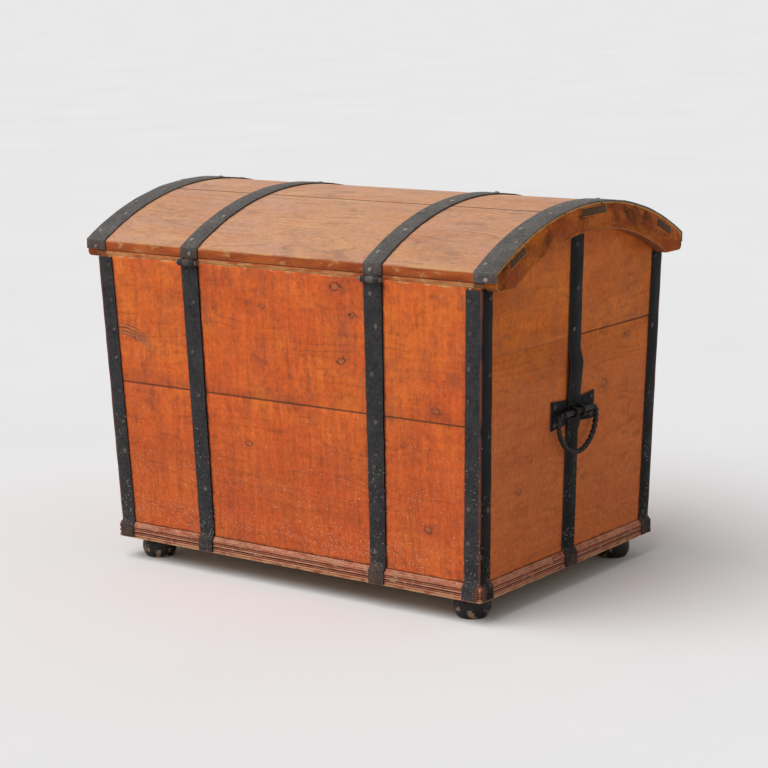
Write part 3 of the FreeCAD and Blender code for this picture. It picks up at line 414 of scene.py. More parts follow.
class Sheet(Graph):
    """A material in the making, with its shader and its Object coordinates."""

    PINE: tuple[Triple, Triple] = ((0.36, 0.215, 0.105), (0.50, 0.325, 0.17))
    PINE_RING: Triple = (0.24, 0.125, 0.055)
    PINE_PORE: Triple = (0.16, 0.085, 0.04)

    def __init__(self, name: str, shine: float, fx: Effects) -> None:
        """Starts the material.

        Args:
            name: the material's name.
            shine: the shader's plain specular level.
            fx: the shared groups.
        """
        self.fx = fx
        self.material = bpy.data.materials.new(name)
        self.material.use_nodes = True
        super().__init__(self.material.node_tree)
        self.shader = self.tree.nodes["Principled BSDF"]
        self.shader.inputs["Specular IOR Level"].default_value = shine
        _, self.normal, _, self.place, *_ = self.node("ShaderNodeTexCoord", {})
        self.x, self.y, self.z = self.split(self.place)

    def edge(self) -> Wire:
        """The piece's own attribute that is 1 along its eased edges."""
        return self.node("ShaderNodeAttribute", {}, attribute_name="edge")[2]

    def mask(self, group: bpy.types.ShaderNodeTree, *inputs: Any) -> Wire:
        """Places a shared group that gives one mask."""
        return self.use(group, *inputs).mask

    def patches(self, v: Wire, scale: Triple, place: Triple, *cut: float) -> Wire:
        """Patches in stretched coordinates, with their fineness and the two levels of their cut."""
        return self.mask(self.fx.blotch, self.stretch(v, scale, place), *cut)

    def layers(self, colour: Any, *coats: tuple[Wire, Any]) -> Wire:
        """Lays thin coats over a colour.

        Args:
            colour: the colour below.
            coats: a mask and the colour above, for each coat.

        Returns:
            The colour that shows.
        """
        for mask, above in coats:
            colour = self.mix(mask, colour, above)
        return colour

    def tint(self, colour: Any, tone: Wire) -> Wire:
        """Makes a colour lighter or darker, by a tone about 1."""
        return self.mix(1.0, colour, self.join(tone, tone, tone), "MULTIPLY")

    def pine(self, grain: SimpleNamespace) -> Wire:
        """The colour of bare, darkened pine, by its grain."""
        streaks = self.mix(grain.streak, *self.PINE)
        return self.layers(streaks, (grain.ring * 0.45, self.PINE_RING), (grain.pore * 0.5, self.PINE_PORE))

    def finish(self, colour: Wire, roughness: Wire, height: Wire, relief: float) -> bpy.types.Material:
        """Wires the shader.

        Args:
            colour: the base colour.
            roughness: the roughness.
            height: the relief, about 0 to 1.
            relief: how deep the relief is, in metres.

        Returns:
            The material.
        """
        bump = self.node("ShaderNodeBump", {"Distance": relief, "Height": height})[0]
        for key, wire in (("Base Color", colour), ("Roughness", roughness), ("Normal", bump)):
            self.feed(self.shader.inputs[key], wire)
        return self.material


@dataclass(frozen=True, kw_only=True)
class Finish(ABC):
    """A finish that a piece can have.

    Attributes:
        name: the material's name.
        slot: the record's slot that it stands for; not used.
        shine: the shader's specular level.
        relief: how deep its relief is, in metres.
    """

    name: str
    slot: str
    shine: float
    relief: float

    def material(self, fx: Effects) -> bpy.types.Material:
        """Builds the finish as a material from the shared groups."""
        sheet = Sheet(self.name, self.shine, fx)
        return sheet.finish(*self.coat(sheet), self.relief)

    @abstractmethod
    def coat(self, s: Sheet) -> tuple[Wire, Wire, Wire]:
        """Wires the finish's colour, its roughness and its height."""


@dataclass(frozen=True, kw_only=True)
class BoardPaint(Finish):
    """Milk paint on the boards of the body, bare inside.

    Attributes:
        grain: the way that the boards run.
        paint: the paint's main colour.
        deep: the paint where it lies thick.
        mottle: the brown of its dirt and its marks, also used for the painted shadow above the joint.
        glow: the paint where it is rubbed thin.
        dusk: the darker colour towards the floor.
        worn: the wood at rubbed edges.
        spatter: the pale spatter near the floor.
        joint_z: the height of the joint between the boards.
        joint_left: how much of the joint shows on the side of +Y or +X.
        top_z: the height of the rubbed top edge.
        mottled: how strong the dirt is.
        stroked: how strong the brush strokes are.
        grained: how strong the grain shows through.
        spattered: how much spatter there is.
        strap: the strap's place at the foot and at the seam, then its half width.
        span: the half length of the wall at the foot and at the seam.
        knots: place along the grain, height and size.
        splits: place along the grain and height of lifted grain.
        pore, raw, crack, eye, ring, seam, shade: the colours of pores, of lifted grain and its splits, of a knot's
            core and ring, of the joint, and of the shade beside the irons.
    """

    grain: GrainWay
    paint: Triple
    deep: Triple
    mottle: Triple
    glow: Triple
    dusk: Triple
    worn: Triple
    spatter: Triple
    joint_z: float
    joint_left: float
    top_z: float
    mottled: float
    stroked: float
    grained: float
    spattered: float
    strap: tuple[tuple[float, float], tuple[float, float]]
    span: tuple[float, float]
    knots: tuple[Triple, ...]
    splits: tuple[tuple[float, float], ...] = ()
    pore: Triple = (0.13, 0.04, 0.018)
    raw: Triple = (0.40, 0.17, 0.085)
    crack: Triple = (0.075, 0.03, 0.016)
    eye: Triple = (0.36, 0.16, 0.085)
    ring: Triple = (0.085, 0.032, 0.018)
    seam: Triple = (0.05, 0.017, 0.01)
    shade: Triple = (0.045, 0.015, 0.009)
    shine: float = 0.05
    relief: float = 0.0006

    def coat(self, s: Sheet) -> tuple[Wire, Wire, Wire]:
        """Wires the paint, its knots, its spatter and the bare inner face.

        Args:
            s: the material in the making.

        Returns:
            Its colour, its roughness and its height.
        """
        flip = self.grain is GrainWay.ALONG_Y
        v = s.join(s.y - MID_Y, s.x, s.z) if flip else s.place
        grain = s.use(s.fx.grain, v)
        colour, tone = self._paint(s, v, grain)
        colour, dark = self._flaws(s, v, colour)
        colour = self._shade(s, v, self._joint(s, v, colour))
        fade = s.z.ramp(0.45, 0.07)
        amount = fade * fade * (s.noise(s.place, 9.0).ramp(0.35, 0.65, 0.2, 1.5) * self.spattered)
        fine = s.mask(s.fx.speck, s.place, 360.0, amount * 0.7, 0.42)
        flecks = fine | s.mask(s.fx.speck, s.place, 120.0, amount * 0.28, 0.27)
        nx, ny, nz = s.split(s.normal)
        facing = nx * s.x if flip else ny * (s.y - MID_Y)
        bare = (facing < -0.05) | nz.ramp(0.6, 0.8)
        colour = s.layers(colour, (flecks * 0.7, self.spatter), (bare, s.pine(grain)))
        height = grain.streak * 0.4 + tone * 1.2 + flecks * 0.4 - dark
        return colour, tone.ramp(0.8, 1.2, 0.68, 0.5), height

    def _paint(self, s: Sheet, v: Wire, grain: SimpleNamespace) -> tuple[Wire, Wire]:
        """The coat of paint itself.

        Args:
            s: the material in the making.
            v: coordinates with X along the grain.
            grain: the outputs of the grain group.

        Returns:
            The colour, and how light the coat is about 1.
        """
        patch = s.patches(v, (0.8, 1.0, 1.2), ORIGIN, 5.5, 0.4, 0.66)
        light = s.patches(v, (0.8, 1.0, 1.0), (7.3, 2.0, 4.1), 11.0, 0.46, 0.7)
        smudge = s.patches(v, (1.0, 1.0, 0.75), (3.1, 0.0, 1.7), 21.0, 0.5, 0.76)
        grime = s.patches(v, (1.0, 1.0, 0.9), (6.2, 1.0, 3.3), 46.0, 0.5, 0.72)
        low = s.z.ramp(self.joint_z + 0.01, self.joint_z - 0.12, 0.0, 0.55)
        colour = s.layers(
            s.mix(patch, self.paint, self.deep), (light * 0.7, self.glow), (smudge * self.mottled, self.mottle),
            (grime * (self.mottled * 0.7), self.mottle), (low, self.dusk),
        )
        brush = s.use(s.fx.brush, v)
        tone = (brush.stroke - 0.5) * self.stroked + (brush.fine - 0.5) * 0.75 + (grain.streak - 0.5) * self.grained
        tone = tone + 1.0 - grain.ring * (self.grained * 1.1)
        colour = s.layers(
            s.tint(colour, tone), (tone.ramp(0.93, 0.68, 0.0, 0.6), self.mottle),
            (tone.ramp(1.05, 1.3, 0.0, 0.45), self.glow), (grain.pore * 0.3, self.pore),
        )
        return colour, tone

    def _flaws(self, s: Sheet, v: Wire, colour: Wire) -> tuple[Wire, Wire]:
        """Adds the knots and the lifted grain.

        Args:
            s: the material in the making.
            v: coordinates with X along the grain.
            colour: the paint.

        Returns:
            The colour, and a mask of the hollows.
        """
        dark = s.math("ADD", 0.0)
        for spot in self.splits:
            torn = s.use(s.fx.split, v, *spot)
            colour = s.layers(colour, (torn.raw * 0.6, self.raw), (torn.line * 0.85, self.crack))
            dark = dark | torn.line
        for spot in self.knots:
            knot = s.use(s.fx.knot, v, *spot)
            coats = (knot.halo * 0.3, self.mottle), (knot.eye * 0.55, self.eye), (knot.ring * 0.8, self.ring)
            colour = s.layers(colour, *coats)
            dark = dark | knot.ring
        return colour, dark

    def _joint(self, s: Sheet, v: Wire, colour: Wire) -> Wire:
        """Adds the joint between the boards, a painted shadow band above it, and the rubbed edges.

        Args:
            s: the material in the making.
            v: coordinates with X along the grain.
            colour: the paint.

        Returns:
            The colour.
        """
        above = s.z - self.joint_z
        near = abs(above)
        # painted shadow: a darker band just above the joint between the boards
        seam_shadow = above.ramp(0.03, 0.002) * above.ramp(-0.004, 0.0) * s.noise(v, 22.0, 4.0).ramp(0.36, 0.66)
        top = s.z.ramp(self.top_z - 0.006, self.top_z - 0.001) * s.z.ramp(self.top_z + 0.02, self.top_z)
        rubbed = s.mask(s.fx.wear, top | s.edge() * near.ramp(0.003, 0.006), v, 38.0, 0.42)
        line = near.ramp(0.0021, 0.0007) * s.split(v)[0].ramp(-0.02, 0.02, 0.9, self.joint_left)
        return s.layers(colour, (seam_shadow * 0.5, self.mottle), (rubbed * 0.8, self.worn), (line, self.seam))

    def _shade(self, s: Sheet, v: Wire, colour: Wire) -> Wire:
        """Darkens the paint with painted shade beside the straps, the corner irons and the moulding.

        Args:
            s: the material in the making.
            v: coordinates with X along the grain.
            colour: the paint.

        Returns:
            The colour.
        """
        along = s.split(v)[0]
        aside = abs(along)
        place, half, span = (s.z.ramp(FOOT_Z, SEAM_Z, *ends, held=False) for ends in (*self.strap, self.span))
        off = aside - place
        # painted shadow: darker on a strap's side away from the key light, and none above the strap's top
        shadow_side = (off * along).ramp(-0.001, 0.001, 0.9, 0.4) * s.z.ramp(STRAP_TOP_Z, STRAP_TOP_Z - 0.002)
        # painted shade beside the straps, the corner irons and the top of the moulding
        mask = s.mask(s.fx.ledge, v, abs(off) - half, 0.0055) * shadow_side
        mask = mask | s.mask(s.fx.ledge, v, span - FLANGE - aside, 0.004) * 0.5
        mask = mask | s.mask(s.fx.ledge, v, s.z - RAIL_Z, 0.0045) * 0.8
        return s.mix(mask, colour, self.shade)


@dataclass(frozen=True, kw_only=True)
class LidPaint(Finish):
    """Faded paint on the domed planks, deeper on the rim, bare within the vault and at the tenon ends.

    Attributes:
        tan: the faded paint.
        pink: the paint where it is chalky.
        straw: the wood that shows through near the ridge.
        strong: the paint where it is kept.
        scuff: the grey of scuffs.
        rim: the paint of the upright rim.
        rim_deep: the rim's darker patches.
        worn: the wood at rubbed edges.
        marks: along X, along Y and size of the scuffs.
        pore, seam, scribed, rot: the colours of pores, of joints and shade, of the painted shade in the groove along
            the rim and of the tenon ends.
    """

    tan: Triple
    pink: Triple
    straw: Triple
    strong: Triple
    scuff: Triple
    rim: Triple
    rim_deep: Triple
    worn: Triple
    marks: tuple[Triple, ...]
    pore: Triple = (0.17, 0.075, 0.04)
    seam: Triple = (0.05, 0.022, 0.014)
    scribed: Triple = (0.07, 0.026, 0.014)
    rot: tuple[Triple, Triple] = ((0.04, 0.018, 0.008), (0.12, 0.052, 0.022))
    shine: float = 0.1
    relief: float = 0.0007

    def coat(self, s: Sheet) -> tuple[Wire, Wire, Wire]:
        """Wires the faded paint, the rim, the joints, the painted shade beside the straps and the bare parts.

        Args:
            s: the material in the making.

        Returns:
            Its colour, its roughness and its height.
        """
        v = s.place
        grain = s.use(s.fx.grain, v, 22.0)
        colour, tone, scuffed = self._top(s, grain)
        dy, dz, aside = s.y - LID_MID_Y, s.z - DOME_Z, abs(s.x)
        lip = abs(s.z - (LIP_Z + 0.0005)).ramp(0.0032, 0.0008)
        edges = lip | (s.z.ramp(SEAM_Z + 0.005, SEAM_Z + 0.001) | s.edge()) * 0.8
        rubbed = s.mask(s.fx.wear, edges, s.stretch(v, (0.4, 1.0, 1.0)), 44.0, 0.42)
        joint = abs(abs(dy) - PLANK_JOINT).ramp(0.0022, 0.0008)
        # painted shade beside the lid straps, darker on the side away from the key light, and inside the end straps
        off = aside - LID_STRAP_X
        shadow_side = (off * s.x).ramp(-0.001, 0.001, 0.9, 0.35)
        shade = s.mask(s.fx.ledge, v, abs(off) - LID_STRAP_HALF, 0.005) * shadow_side
        shade = shade | s.mask(s.fx.ledge, v, LID_END_STRAP_IN - aside, 0.004) * 0.7
        colour = s.layers(
            colour, (s.z.ramp(LIP_Z + 0.002, LIP_Z - 0.003), self._rim(s, grain)), (rubbed * 0.8, self.worn),
            (joint * 0.9, self.seam), (shade, self.seam), (s.hypot(dy, dz) < VAULT_RADIUS + 0.0012, s.pine(grain)),
            (aside > TENON_END, s.mix(s.noise(v, 140.0, 4.0), *self.rot)),
        )
        height = grain.streak * 0.6 + tone * 1.2 - (grain.pore * 0.8 + joint)
        return colour, scuffed.ramp(0.0, 1.0, 0.55, 0.75), height

    def _top(self, s: Sheet, grain: SimpleNamespace) -> tuple[Wire, Wire, Wire]:
        """The faded paint over the dome.

        Args:
            s: the material in the making.
            grain: the outputs of the grain group.

        Returns:
            The colour, how light it is about 1, and a mask of the scuffs.
        """
        v = s.place
        patch = s.patches(v, (0.7, 1.4, 1.4), ORIGIN, 8.0, 0.42, 0.62)
        kept = s.patches(v, (0.4, 1.5, 1.5), (5.0, 2.0, 1.0), 15.0, 0.5, 0.7)
        straw = s.patches(v, (0.6, 1.3, 1.3), (1.0, 6.0, 3.0), 9.0, 0.5, 0.72)
        dirt = s.patches(v, (0.6, 1.3, 1.3), (9.0, 4.0, 2.0), 16.0, 0.54, 0.74)
        rough = s.noise(v, 60.0, 5.0, 0.7)
        for across, along, size in self.marks:
            far = s.hypot((s.x - across) / (size * 1.7), (s.y - along) / size)
            dirt = dirt | far.ramp(1.0, 0.2) * rough.ramp(0.36, 0.62)
        colour = s.layers(
            s.mix(patch, self.tan, self.pink), (straw * s.y.ramp(0.16, -0.05, 0.25, 1.0), self.straw),
            (kept * 0.4, self.strong), (dirt * 0.5, self.scuff),
        )
        fine = s.noise(s.stretch(v, (70.0, 230.0, 230.0)), 1.0, 4.0, 0.68)
        tone = (fine - 0.5) * 0.66 + (grain.streak - 0.5) * 0.12 + 1.0 - grain.ring * 0.2
        dull = tone.ramp(0.92, 0.66, 0.0, 0.4)
        return s.layers(s.tint(colour, tone), (dull, self.scuff), (grain.pore * 0.3, self.pore)), tone, dirt

    def _rim(self, s: Sheet, grain: SimpleNamespace) -> Wire:
        """The stronger paint of the upright rim, mottled and chipped to the wood, with painted shade in its groove.

        Args:
            s: the material in the making.
            grain: the outputs of the grain group.

        Returns:
            The colour.
        """
        v = s.place
        patch = s.patches(v, (0.5, 1.0, 1.6), ORIGIN, 26.0, 0.38, 0.62)
        chips = s.patches(v, (0.6, 1.0, 1.5), (2.0, 8.0, 5.0), 48.0, 0.55, 0.66)
        ragged = s.noise(s.stretch(v, (0.5, 1.0, 1.0)), 40.0, 4.0).ramp(0.36, 0.6)
        bead = s.z.ramp(SEAM_Z + 0.0085, SEAM_Z + 0.0065) * ragged
        # painted shade along the groove cut into the rim
        line = abs(s.z - SCRIBE_Z).ramp(0.0014, 0.0005)
        return s.layers(
            s.mix(patch, self.rim, self.rim_deep), (grain.streak * 0.3, self.rim_deep), (chips * 0.7, self.worn),
            (bead * 0.45, self.worn), (line * 0.75, self.scribed),
        )


@dataclass(frozen=True, kw_only=True)
class CleatVarnish(Finish):
    """Old brown varnish on the arched end cleats."""

    honey: Triple
    brown: Triple
    stain: Triple
    under: Triple
    worn: Triple
    shine: float = 0.04
    relief: float = 0.0005

    def coat(self, s: Sheet) -> tuple[Wire, Wire, Wire]:
        """Wires the varnish along the arch, with its stains, its rubbed top edge and painted shade on faces that point
        down.

        Args:
            s: the material in the making.

        Returns:
            Its colour, its roughness and its height.
        """
        dy, dz = s.y - LID_MID_Y, s.z - DOME_Z
        far = s.hypot(dy, dz)
        bent = s.join(s.math("ARCTAN2", dy, dz) * DOME_RADIUS, s.x, far)
        grain = s.use(s.fx.grain, bent, 18.0)
        patch = s.patches(bent, (0.7, 1.0, 1.5), ORIGIN, 17.0, 0.4, 0.62)
        stains = s.patches(bent, (0.7, 1.0, 1.3), (2.0, 5.0, 1.0), 24.0, 0.51, 0.66)
        lofty = far.ramp(DOME_RADIUS - 0.045, DOME_RADIUS - 0.012, 0.35, 1.0)
        colour = s.layers(
            s.mix(patch, self.honey, self.brown), (grain.streak * 0.3, self.brown), (stains * lofty, self.stain),
            (grain.pore * 0.5, self.stain),
        )
        tone = s.noise(bent, 150.0, 4.0, 0.68).ramp(0.25, 0.75, 0.6, 1.4)
        # painted shade: faces that point down are darkened
        below = s.split(s.normal)[2].ramp(-0.2, -0.6)
        edges = far.ramp(DOME_RADIUS - 0.0045, DOME_RADIUS - 0.001) | s.edge() * 0.7
        rubbed = s.mask(s.fx.wear, edges, s.join(s.y, s.x, s.z), 50.0, 0.56)
        colour = s.layers(s.tint(colour, tone), (below * 0.75, self.under), (rubbed * 0.75, self.worn))
        return colour, stains.ramp(0.0, 1.0, 0.45, 0.62), grain.streak - grain.pore * 0.8 + tone


@dataclass(frozen=True, kw_only=True)
class MouldingPaint(Finish):
    """Red-brown paint on the reeded base moulding, rubbed pale along its reeds."""

    paint: Triple
    deep: Triple
    pale: Triple
    bare: Triple
    groove: Triple = (0.04, 0.015, 0.010)
    hem: Triple = (0.58, 0.34, 0.17)
    spatter: Triple = (0.62, 0.46, 0.36)
    end_wall: float = 0.145
    shine: float = 0.06
    relief: float = 0.0007

    def coat(self, s: Sheet) -> tuple[Wire, Wire, Wire]:
        """Wires the paint with pale reed edges, dark grooves and chips.

        Args:
            s: the material in the making.

        Returns:
            Its colour, its roughness and its height.
        """
        end = abs(s.x) - abs(s.y) > self.end_wall
        v = s.join(s.y * end + s.x * (1.0 - end), s.x + s.y, s.z)
        rub = s.noise(s.stretch(v, (11.0, 40.0, 110.0)), 1.0, 5.0, 0.65)
        chips = s.patches(v, (0.5, 1.0, 1.4), ORIGIN, 46.0, 0.6, 0.66)
        cloud = s.noise(s.stretch(v, (0.6, 1.0, 1.6)), 30.0, 5.0, 0.65).ramp(0.35, 0.65)
        half = REED_PITCH / 2
        pitch = s.math("PINGPONG", s.z - FOOT_Z, half)
        line = abs(pitch - (half - 0.0023)).ramp(0.0012, 0.0003)
        show = (line | s.z.ramp(RAIL_Z - 0.0055, RAIL_Z - 0.002) * 0.75) * rub.ramp(0.34, 0.58)
        groove = (half - pitch).ramp(0.0021, 0.0009) * s.z.ramp(RAIL_Z - 0.009, RAIL_Z - 0.011)
        groove = groove * s.z.ramp(FOOT_Z + 0.003, FOOT_Z + 0.006)
        hem = s.z.ramp(FOOT_Z + 0.0065, FOOT_Z + 0.003) * rub.ramp(0.38, 0.56)
        colour = s.layers(
            s.mix(cloud, self.paint, self.deep), (show * 0.8, self.pale), (groove * 0.9, self.groove),
            (s.mask(s.fx.wear, s.edge(), v, 70.0, 0.55) * 0.7, self.pale), (chips * 0.7, self.bare),
            (hem * 0.65, self.hem), (s.mask(s.fx.speck, s.place, 260.0, 0.1, 0.4) * 0.6, self.spatter),
        )
        return colour, rub.ramp(0.3, 0.7, 0.5, 0.7), rub - chips * 0.6


@dataclass(frozen=True, kw_only=True)
class BarePine(Finish):
    """Bare pine, darkened with age."""

    dirt: Triple = (0.2, 0.13, 0.08)
    shine: float = 0.3
    relief: float = 0.0005

    def coat(self, s: Sheet) -> tuple[Wire, Wire, Wire]:
        """Wires the bare wood.

        Args:
            s: the material in the making.

        Returns:
            Its colour, its roughness and its height.
        """
        grain = s.use(s.fx.grain, s.place, 10.0)
        colour = s.mix(s.mask(s.fx.blotch, s.place, 9.0, 0.45, 0.7) * 0.4, s.pine(grain), self.dirt)
        return colour, grain.streak.ramp(0.0, 1.0, 0.6, 0.75), grain.streak - grain.pore


@dataclass(frozen=True, kw_only=True)
class FootBlack(Finish):
    """Black paint on the turned feet, chipped to the wood."""

    paint: Triple
    wood: tuple[Triple, Triple]
    chipped: float
    shine: float = 0.2
    relief: float = 0.0008

    def coat(self, s: Sheet) -> tuple[Wire, Wire, Wire]:
        """Wires the black paint and its chips.

        Args:
            s: the material in the making.

        Returns:
            Its colour, its roughness and its height.
        """
        chips = s.noise(s.place, 48.0, 5.0, 0.6) + s.z.ramp(0.026, 0.0, 0.0, 0.12)
        bare = chips.ramp(0.66 - self.chipped, 0.70 - self.chipped)
        grime = s.noise(s.place, 130.0)
        black = s.mix(grime, self.paint, tuple(3.0 * part for part in self.paint))
        wood = s.mix(s.noise(s.stretch(s.place, (60.0, 60.0, 300.0)), 1.0), *self.wood)
        return s.mix(bare, black, wood), bare.ramp(0.0, 1.0, 0.42, 0.7), grime * 0.4 - bare


@dataclass(frozen=True, kw_only=True)
class BlackIron(Finish):
    """Hand-forged iron, blackened and rubbed, with rust, scratches and spatter.

    Attributes:
        base: the blackened iron.
        sheen: its rubbed patches.
        rust: its rust.
        rubbed: bright worn edges and scratches.
        rusted: how much rust there is.
        spattered: how much pale spatter there is near the floor.
        rough: the roughness of clean iron.
        sooty: painted shade, as how much of its lightness the iron keeps where it faces the ends.
        low_rust: the height below which the rust thickens, or 0.
        arris: how far a corner iron's edge is worn red.
        red, spatter: the colours of that edge and of the spatter.
    """

    base: Triple
    sheen: Triple
    rust: Triple
    rubbed: Triple
    rusted: float
    spattered: float = 0.0
    rough: float
    sooty: float = 1.0
    low_rust: float = 0.0
    arris: float = 0.0
    red: Triple = (0.17, 0.05, 0.03)
    spatter: Triple = (0.36, 0.30, 0.25)
    slot: str = "black_iron"
    shine: float = 0.1
    relief: float = 0.0009

    def coat(self, s: Sheet) -> tuple[Wire, Wire, Wire]:
        """Wires the iron.

        Args:
            s: the material in the making.

        Returns:
            Its colour, its roughness and its height.
        """
        v = s.place
        patch = s.mask(s.fx.blotch, v, 26.0, 0.36, 0.68)
        fine = s.noise(v, 170.0, 4.0, 0.7)
        more = s.z.ramp(self.low_rust + 0.006, self.low_rust - 0.012, 0.0, 0.2) if self.low_rust else 0.0
        rusty = s.noise(s.stretch(v, (1.0, 1.0, 0.7), (4.0, 1.0, 2.0)), 34.0, 6.0, 0.62) + more
        rusty = rusty.ramp(0.66 - self.rusted, 0.82 - self.rusted)
        scratch = s.noise(s.stretch(v, (420.0, 420.0, 16.0)), 1.0, 2.0).ramp(0.66, 0.76)
        colour = s.tint(s.mix(patch, self.base, self.sheen), fine.ramp(0.25, 0.75, 0.45, 1.55))
        colour = s.mix(scratch * 0.4, colour, self.rubbed)
        # painted shade: iron that faces the ends is darkened by its facing
        colour = s.tint(colour, abs(s.split(s.normal)[0]).ramp(0.55, 0.85, 1.0, self.sooty))
        worn = s.mask(s.fx.wear, s.edge(), v, 55.0, 0.5)
        colour = s.layers(colour, (rusty * 0.75, self.rust), (worn * 0.7, self.rubbed))
        if self.arris:
            colour = s.mix(self._arris(s), colour, self.red)
        flecks = s.mask(s.fx.speck, v, 260.0, s.z.ramp(0.40, 0.06) * self.spattered, 0.4)
        rough = (patch + rusty).ramp(0.0, 1.5, self.rough, self.rough + 0.25)
        return s.mix(flecks * 0.6, colour, self.spatter), rough, fine * 0.6 + patch * 0.8 - scratch * 0.3

    def _arris(self, s: Sheet) -> Wire:
        """A mask along the upright edge of a corner iron, from the lean of the two walls.

        Args:
            s: the material in the making.

        Returns:
            The mask.
        """
        drop = SEAM_Z - s.z
        off_end = SEAM_REACH + IRON - drop * REACH_LEAN - abs(s.x)
        off_side = SEAM_DEPTH + IRON - drop * DEPTH_LEAN - abs(s.y - MID_Y)
        broken = s.noise(s.stretch(s.place, (1.0, 1.0, 0.35)), 70.0, 4.0).ramp(0.34, 0.5)
        return (off_end | off_side).ramp(0.0042, 0.0022) * broken * self.arris


@dataclass(frozen=True, kw_only=True)
class FloorGrey(Finish):
    """The studio floor's pale, slightly uneven grey."""

    tone: float
    uneven: float = 0.012
    shine: float = 0.1
    relief: float = 0.0001

    def coat(self, s: Sheet) -> tuple[Wire, Wire, Wire]:
        """Wires the floor's paint.

        Args:
            s: the material in the making.

        Returns:
            Its colour, its roughness and its height.
        """
        cloud = s.noise(s.place, 1.3)
        level = cloud.ramp(0.3, 0.7, self.tone - self.uneven, self.tone + self.uneven)
        return s.join(level, level, level), cloud.ramp(0.3, 0.7, 0.82, 0.9), s.noise(s.place, 220.0, 2.0)


@dataclass(frozen=True)
class Easing:
    """How the sharp edges of a solid are eased into a hand-made piece.

    Attributes:
        bevel: how wide the eased edge is, in metres.
        cut: the step of the cuts that let the piece waver, or 0 for none.
        axis: the axis that the cuts are stepped along.
        waver: how far the surface strays, in metres.
        pitch: the length of a stray, in metres.
        crease: the smallest angle that counts as an edge, in degrees.
        tight_z: the height of a joint whose edges stay sharp, or 0.
        scribe: the height and depth of a line cut along the lid's rim, or zeros.
        short: how long the edges of a fine facet may be, in metres.
        near: how close to a joint or a rim counts as on it, in metres.
        seed: fixes the noise of the waver, which would start from the clock.
    """

    bevel: float = 0.0
    cut: float = 0.0
    axis: Axis = Axis.Z
    waver: float = 0.0
    pitch: float = 0.05
    crease: float = 32.0
    tight_z: float = 0.0
    scribe: tuple[float, float] = (0.0, 0.0)
    short: float = 0.006
    near: tuple[float, float] = (0.001, 0.003)
    seed: int = 7

    def mesh(self, source: bpy.types.Mesh, name: str) -> bpy.types.Mesh:
        """Eases a copy of a mesh.

        Args:
            source: the CAD node's mesh, which isn't changed.
            name: the new mesh's name.

        Returns:
            The eased mesh, with an attribute that is 1 along its eased edges.
        """
        work = bmesh.new()
        work.from_mesh(source)
        bmesh.ops.remove_doubles(work, verts=work.verts, dist=MERGE)
        edge = work.verts.layers.float.new("edge")
        if self.bevel:
            self._round(work, edge)
        else:
            for vert in {vert for e in self._sharp(work) for vert in e.verts}:
                if max(e.calc_length() for e in vert.link_edges) < self.short:
                    vert[edge] = 1.0
        if self.cut:
            self._slice(work)
        if any(self.scribe):
            self._scribe(work)
        if self.waver:
            noise.seed_set(self.seed)
            low = min(vert.co.z for vert in work.verts)
            for vert in work.verts:
                vert.co += noise.noise_vector(vert.co / self.pitch) * self.waver
                vert.co.z = max(vert.co.z, low)
        bmesh.ops.triangulate(work, faces=work.faces[:])
        bmesh.ops.dissolve_degenerate(work, dist=MERGE, edges=work.edges[:])
        bmesh.ops.triangulate(work, faces=work.faces[:])
        mesh = bpy.data.meshes.new(name)
        work.to_mesh(mesh)
        work.free()
        mesh.validate()
        mesh.shade_smooth()
        mesh.set_sharp_from_angle(angle=math.radians(SMOOTH_ANGLE))
        return mesh

    def _sharp(self, work: bmesh.types.BMesh) -> list[bmesh.types.BMEdge]:
        """The outer edges that are sharper than the crease."""
        limit = math.radians(self.crease)
        return [e for e in work.edges if e.is_manifold and e.is_convex and e.calc_face_angle(0.0) > limit]

    def _round(self, work: bmesh.types.BMesh, edge: bmesh.types.BMLayerItem) -> None:
        """Rounds the outer edges and marks them.

        Args:
            work: the mesh in the making.
            edge: the layer that the marks go into.
        """
        flat = math.radians(FLAT_ANGLE)
        bmesh.ops.dissolve_limit(work, angle_limit=flat, verts=work.verts[:], edges=work.edges[:])
        sharp = self._sharp(work)
        if self.tight_z:
            sharp = [e for e in sharp if any(abs(vert.co.z - self.tight_z) > self.near[0] for vert in e.verts)]
        result = bmesh.ops.bevel(
            work, geom=sharp, offset=self.bevel, offset_type="OFFSET", segments=2, profile=0.5, affect="EDGES",
            clamp_overlap=True,
        )
        strip = set(result["faces"])
        for vert in result["verts"]:
            if vert.is_valid and all(face in strip for face in vert.link_faces):
                vert[edge] = 1.0

    @staticmethod
    def _cut_at(work: bmesh.types.BMesh, place: Vector, way: Vector) -> None:
        """Cuts the mesh along a plane."""
        geom = work.verts[:] + work.edges[:] + work.faces[:]
        bmesh.ops.bisect_plane(work, geom=geom, dist=MERGE, plane_co=place, plane_no=way)

    def _scribe(self, work: bmesh.types.BMesh) -> None:
        """Cuts a fine groove along the upright rim.

        Args:
            work: the mesh in the making.
        """
        height, depth = self.scribe
        for step in (-depth, 0.0, depth):
            self._cut_at(work, Vector((0.0, 0.0, height + step)), Vector((0.0, 0.0, 1.0)))
        far = max(abs(vert.co.y - LID_MID_Y) for vert in work.verts)
        for vert in work.verts:
            out = vert.co.y - LID_MID_Y
            if abs(vert.co.z - height) < depth / 100.0 and far - abs(out) < self.near[1]:
                vert.co.y -= math.copysign(depth, out)

    def _slice(self, work: bmesh.types.BMesh) -> None:
        """Cuts the mesh into short lengths along an axis.

        Args:
            work: the mesh in the making.
        """
        spots = [vert.co[self.axis.value] for vert in work.verts]
        low, high = min(spots), max(spots)
        count = int((high - low) / self.cut)
        way = Vector(ORIGIN)
        way[self.axis.value] = 1.0
        for step in range(1, count + 1):
            self._cut_at(work, way * (low + (high - low) * step / (count + 1)), way)


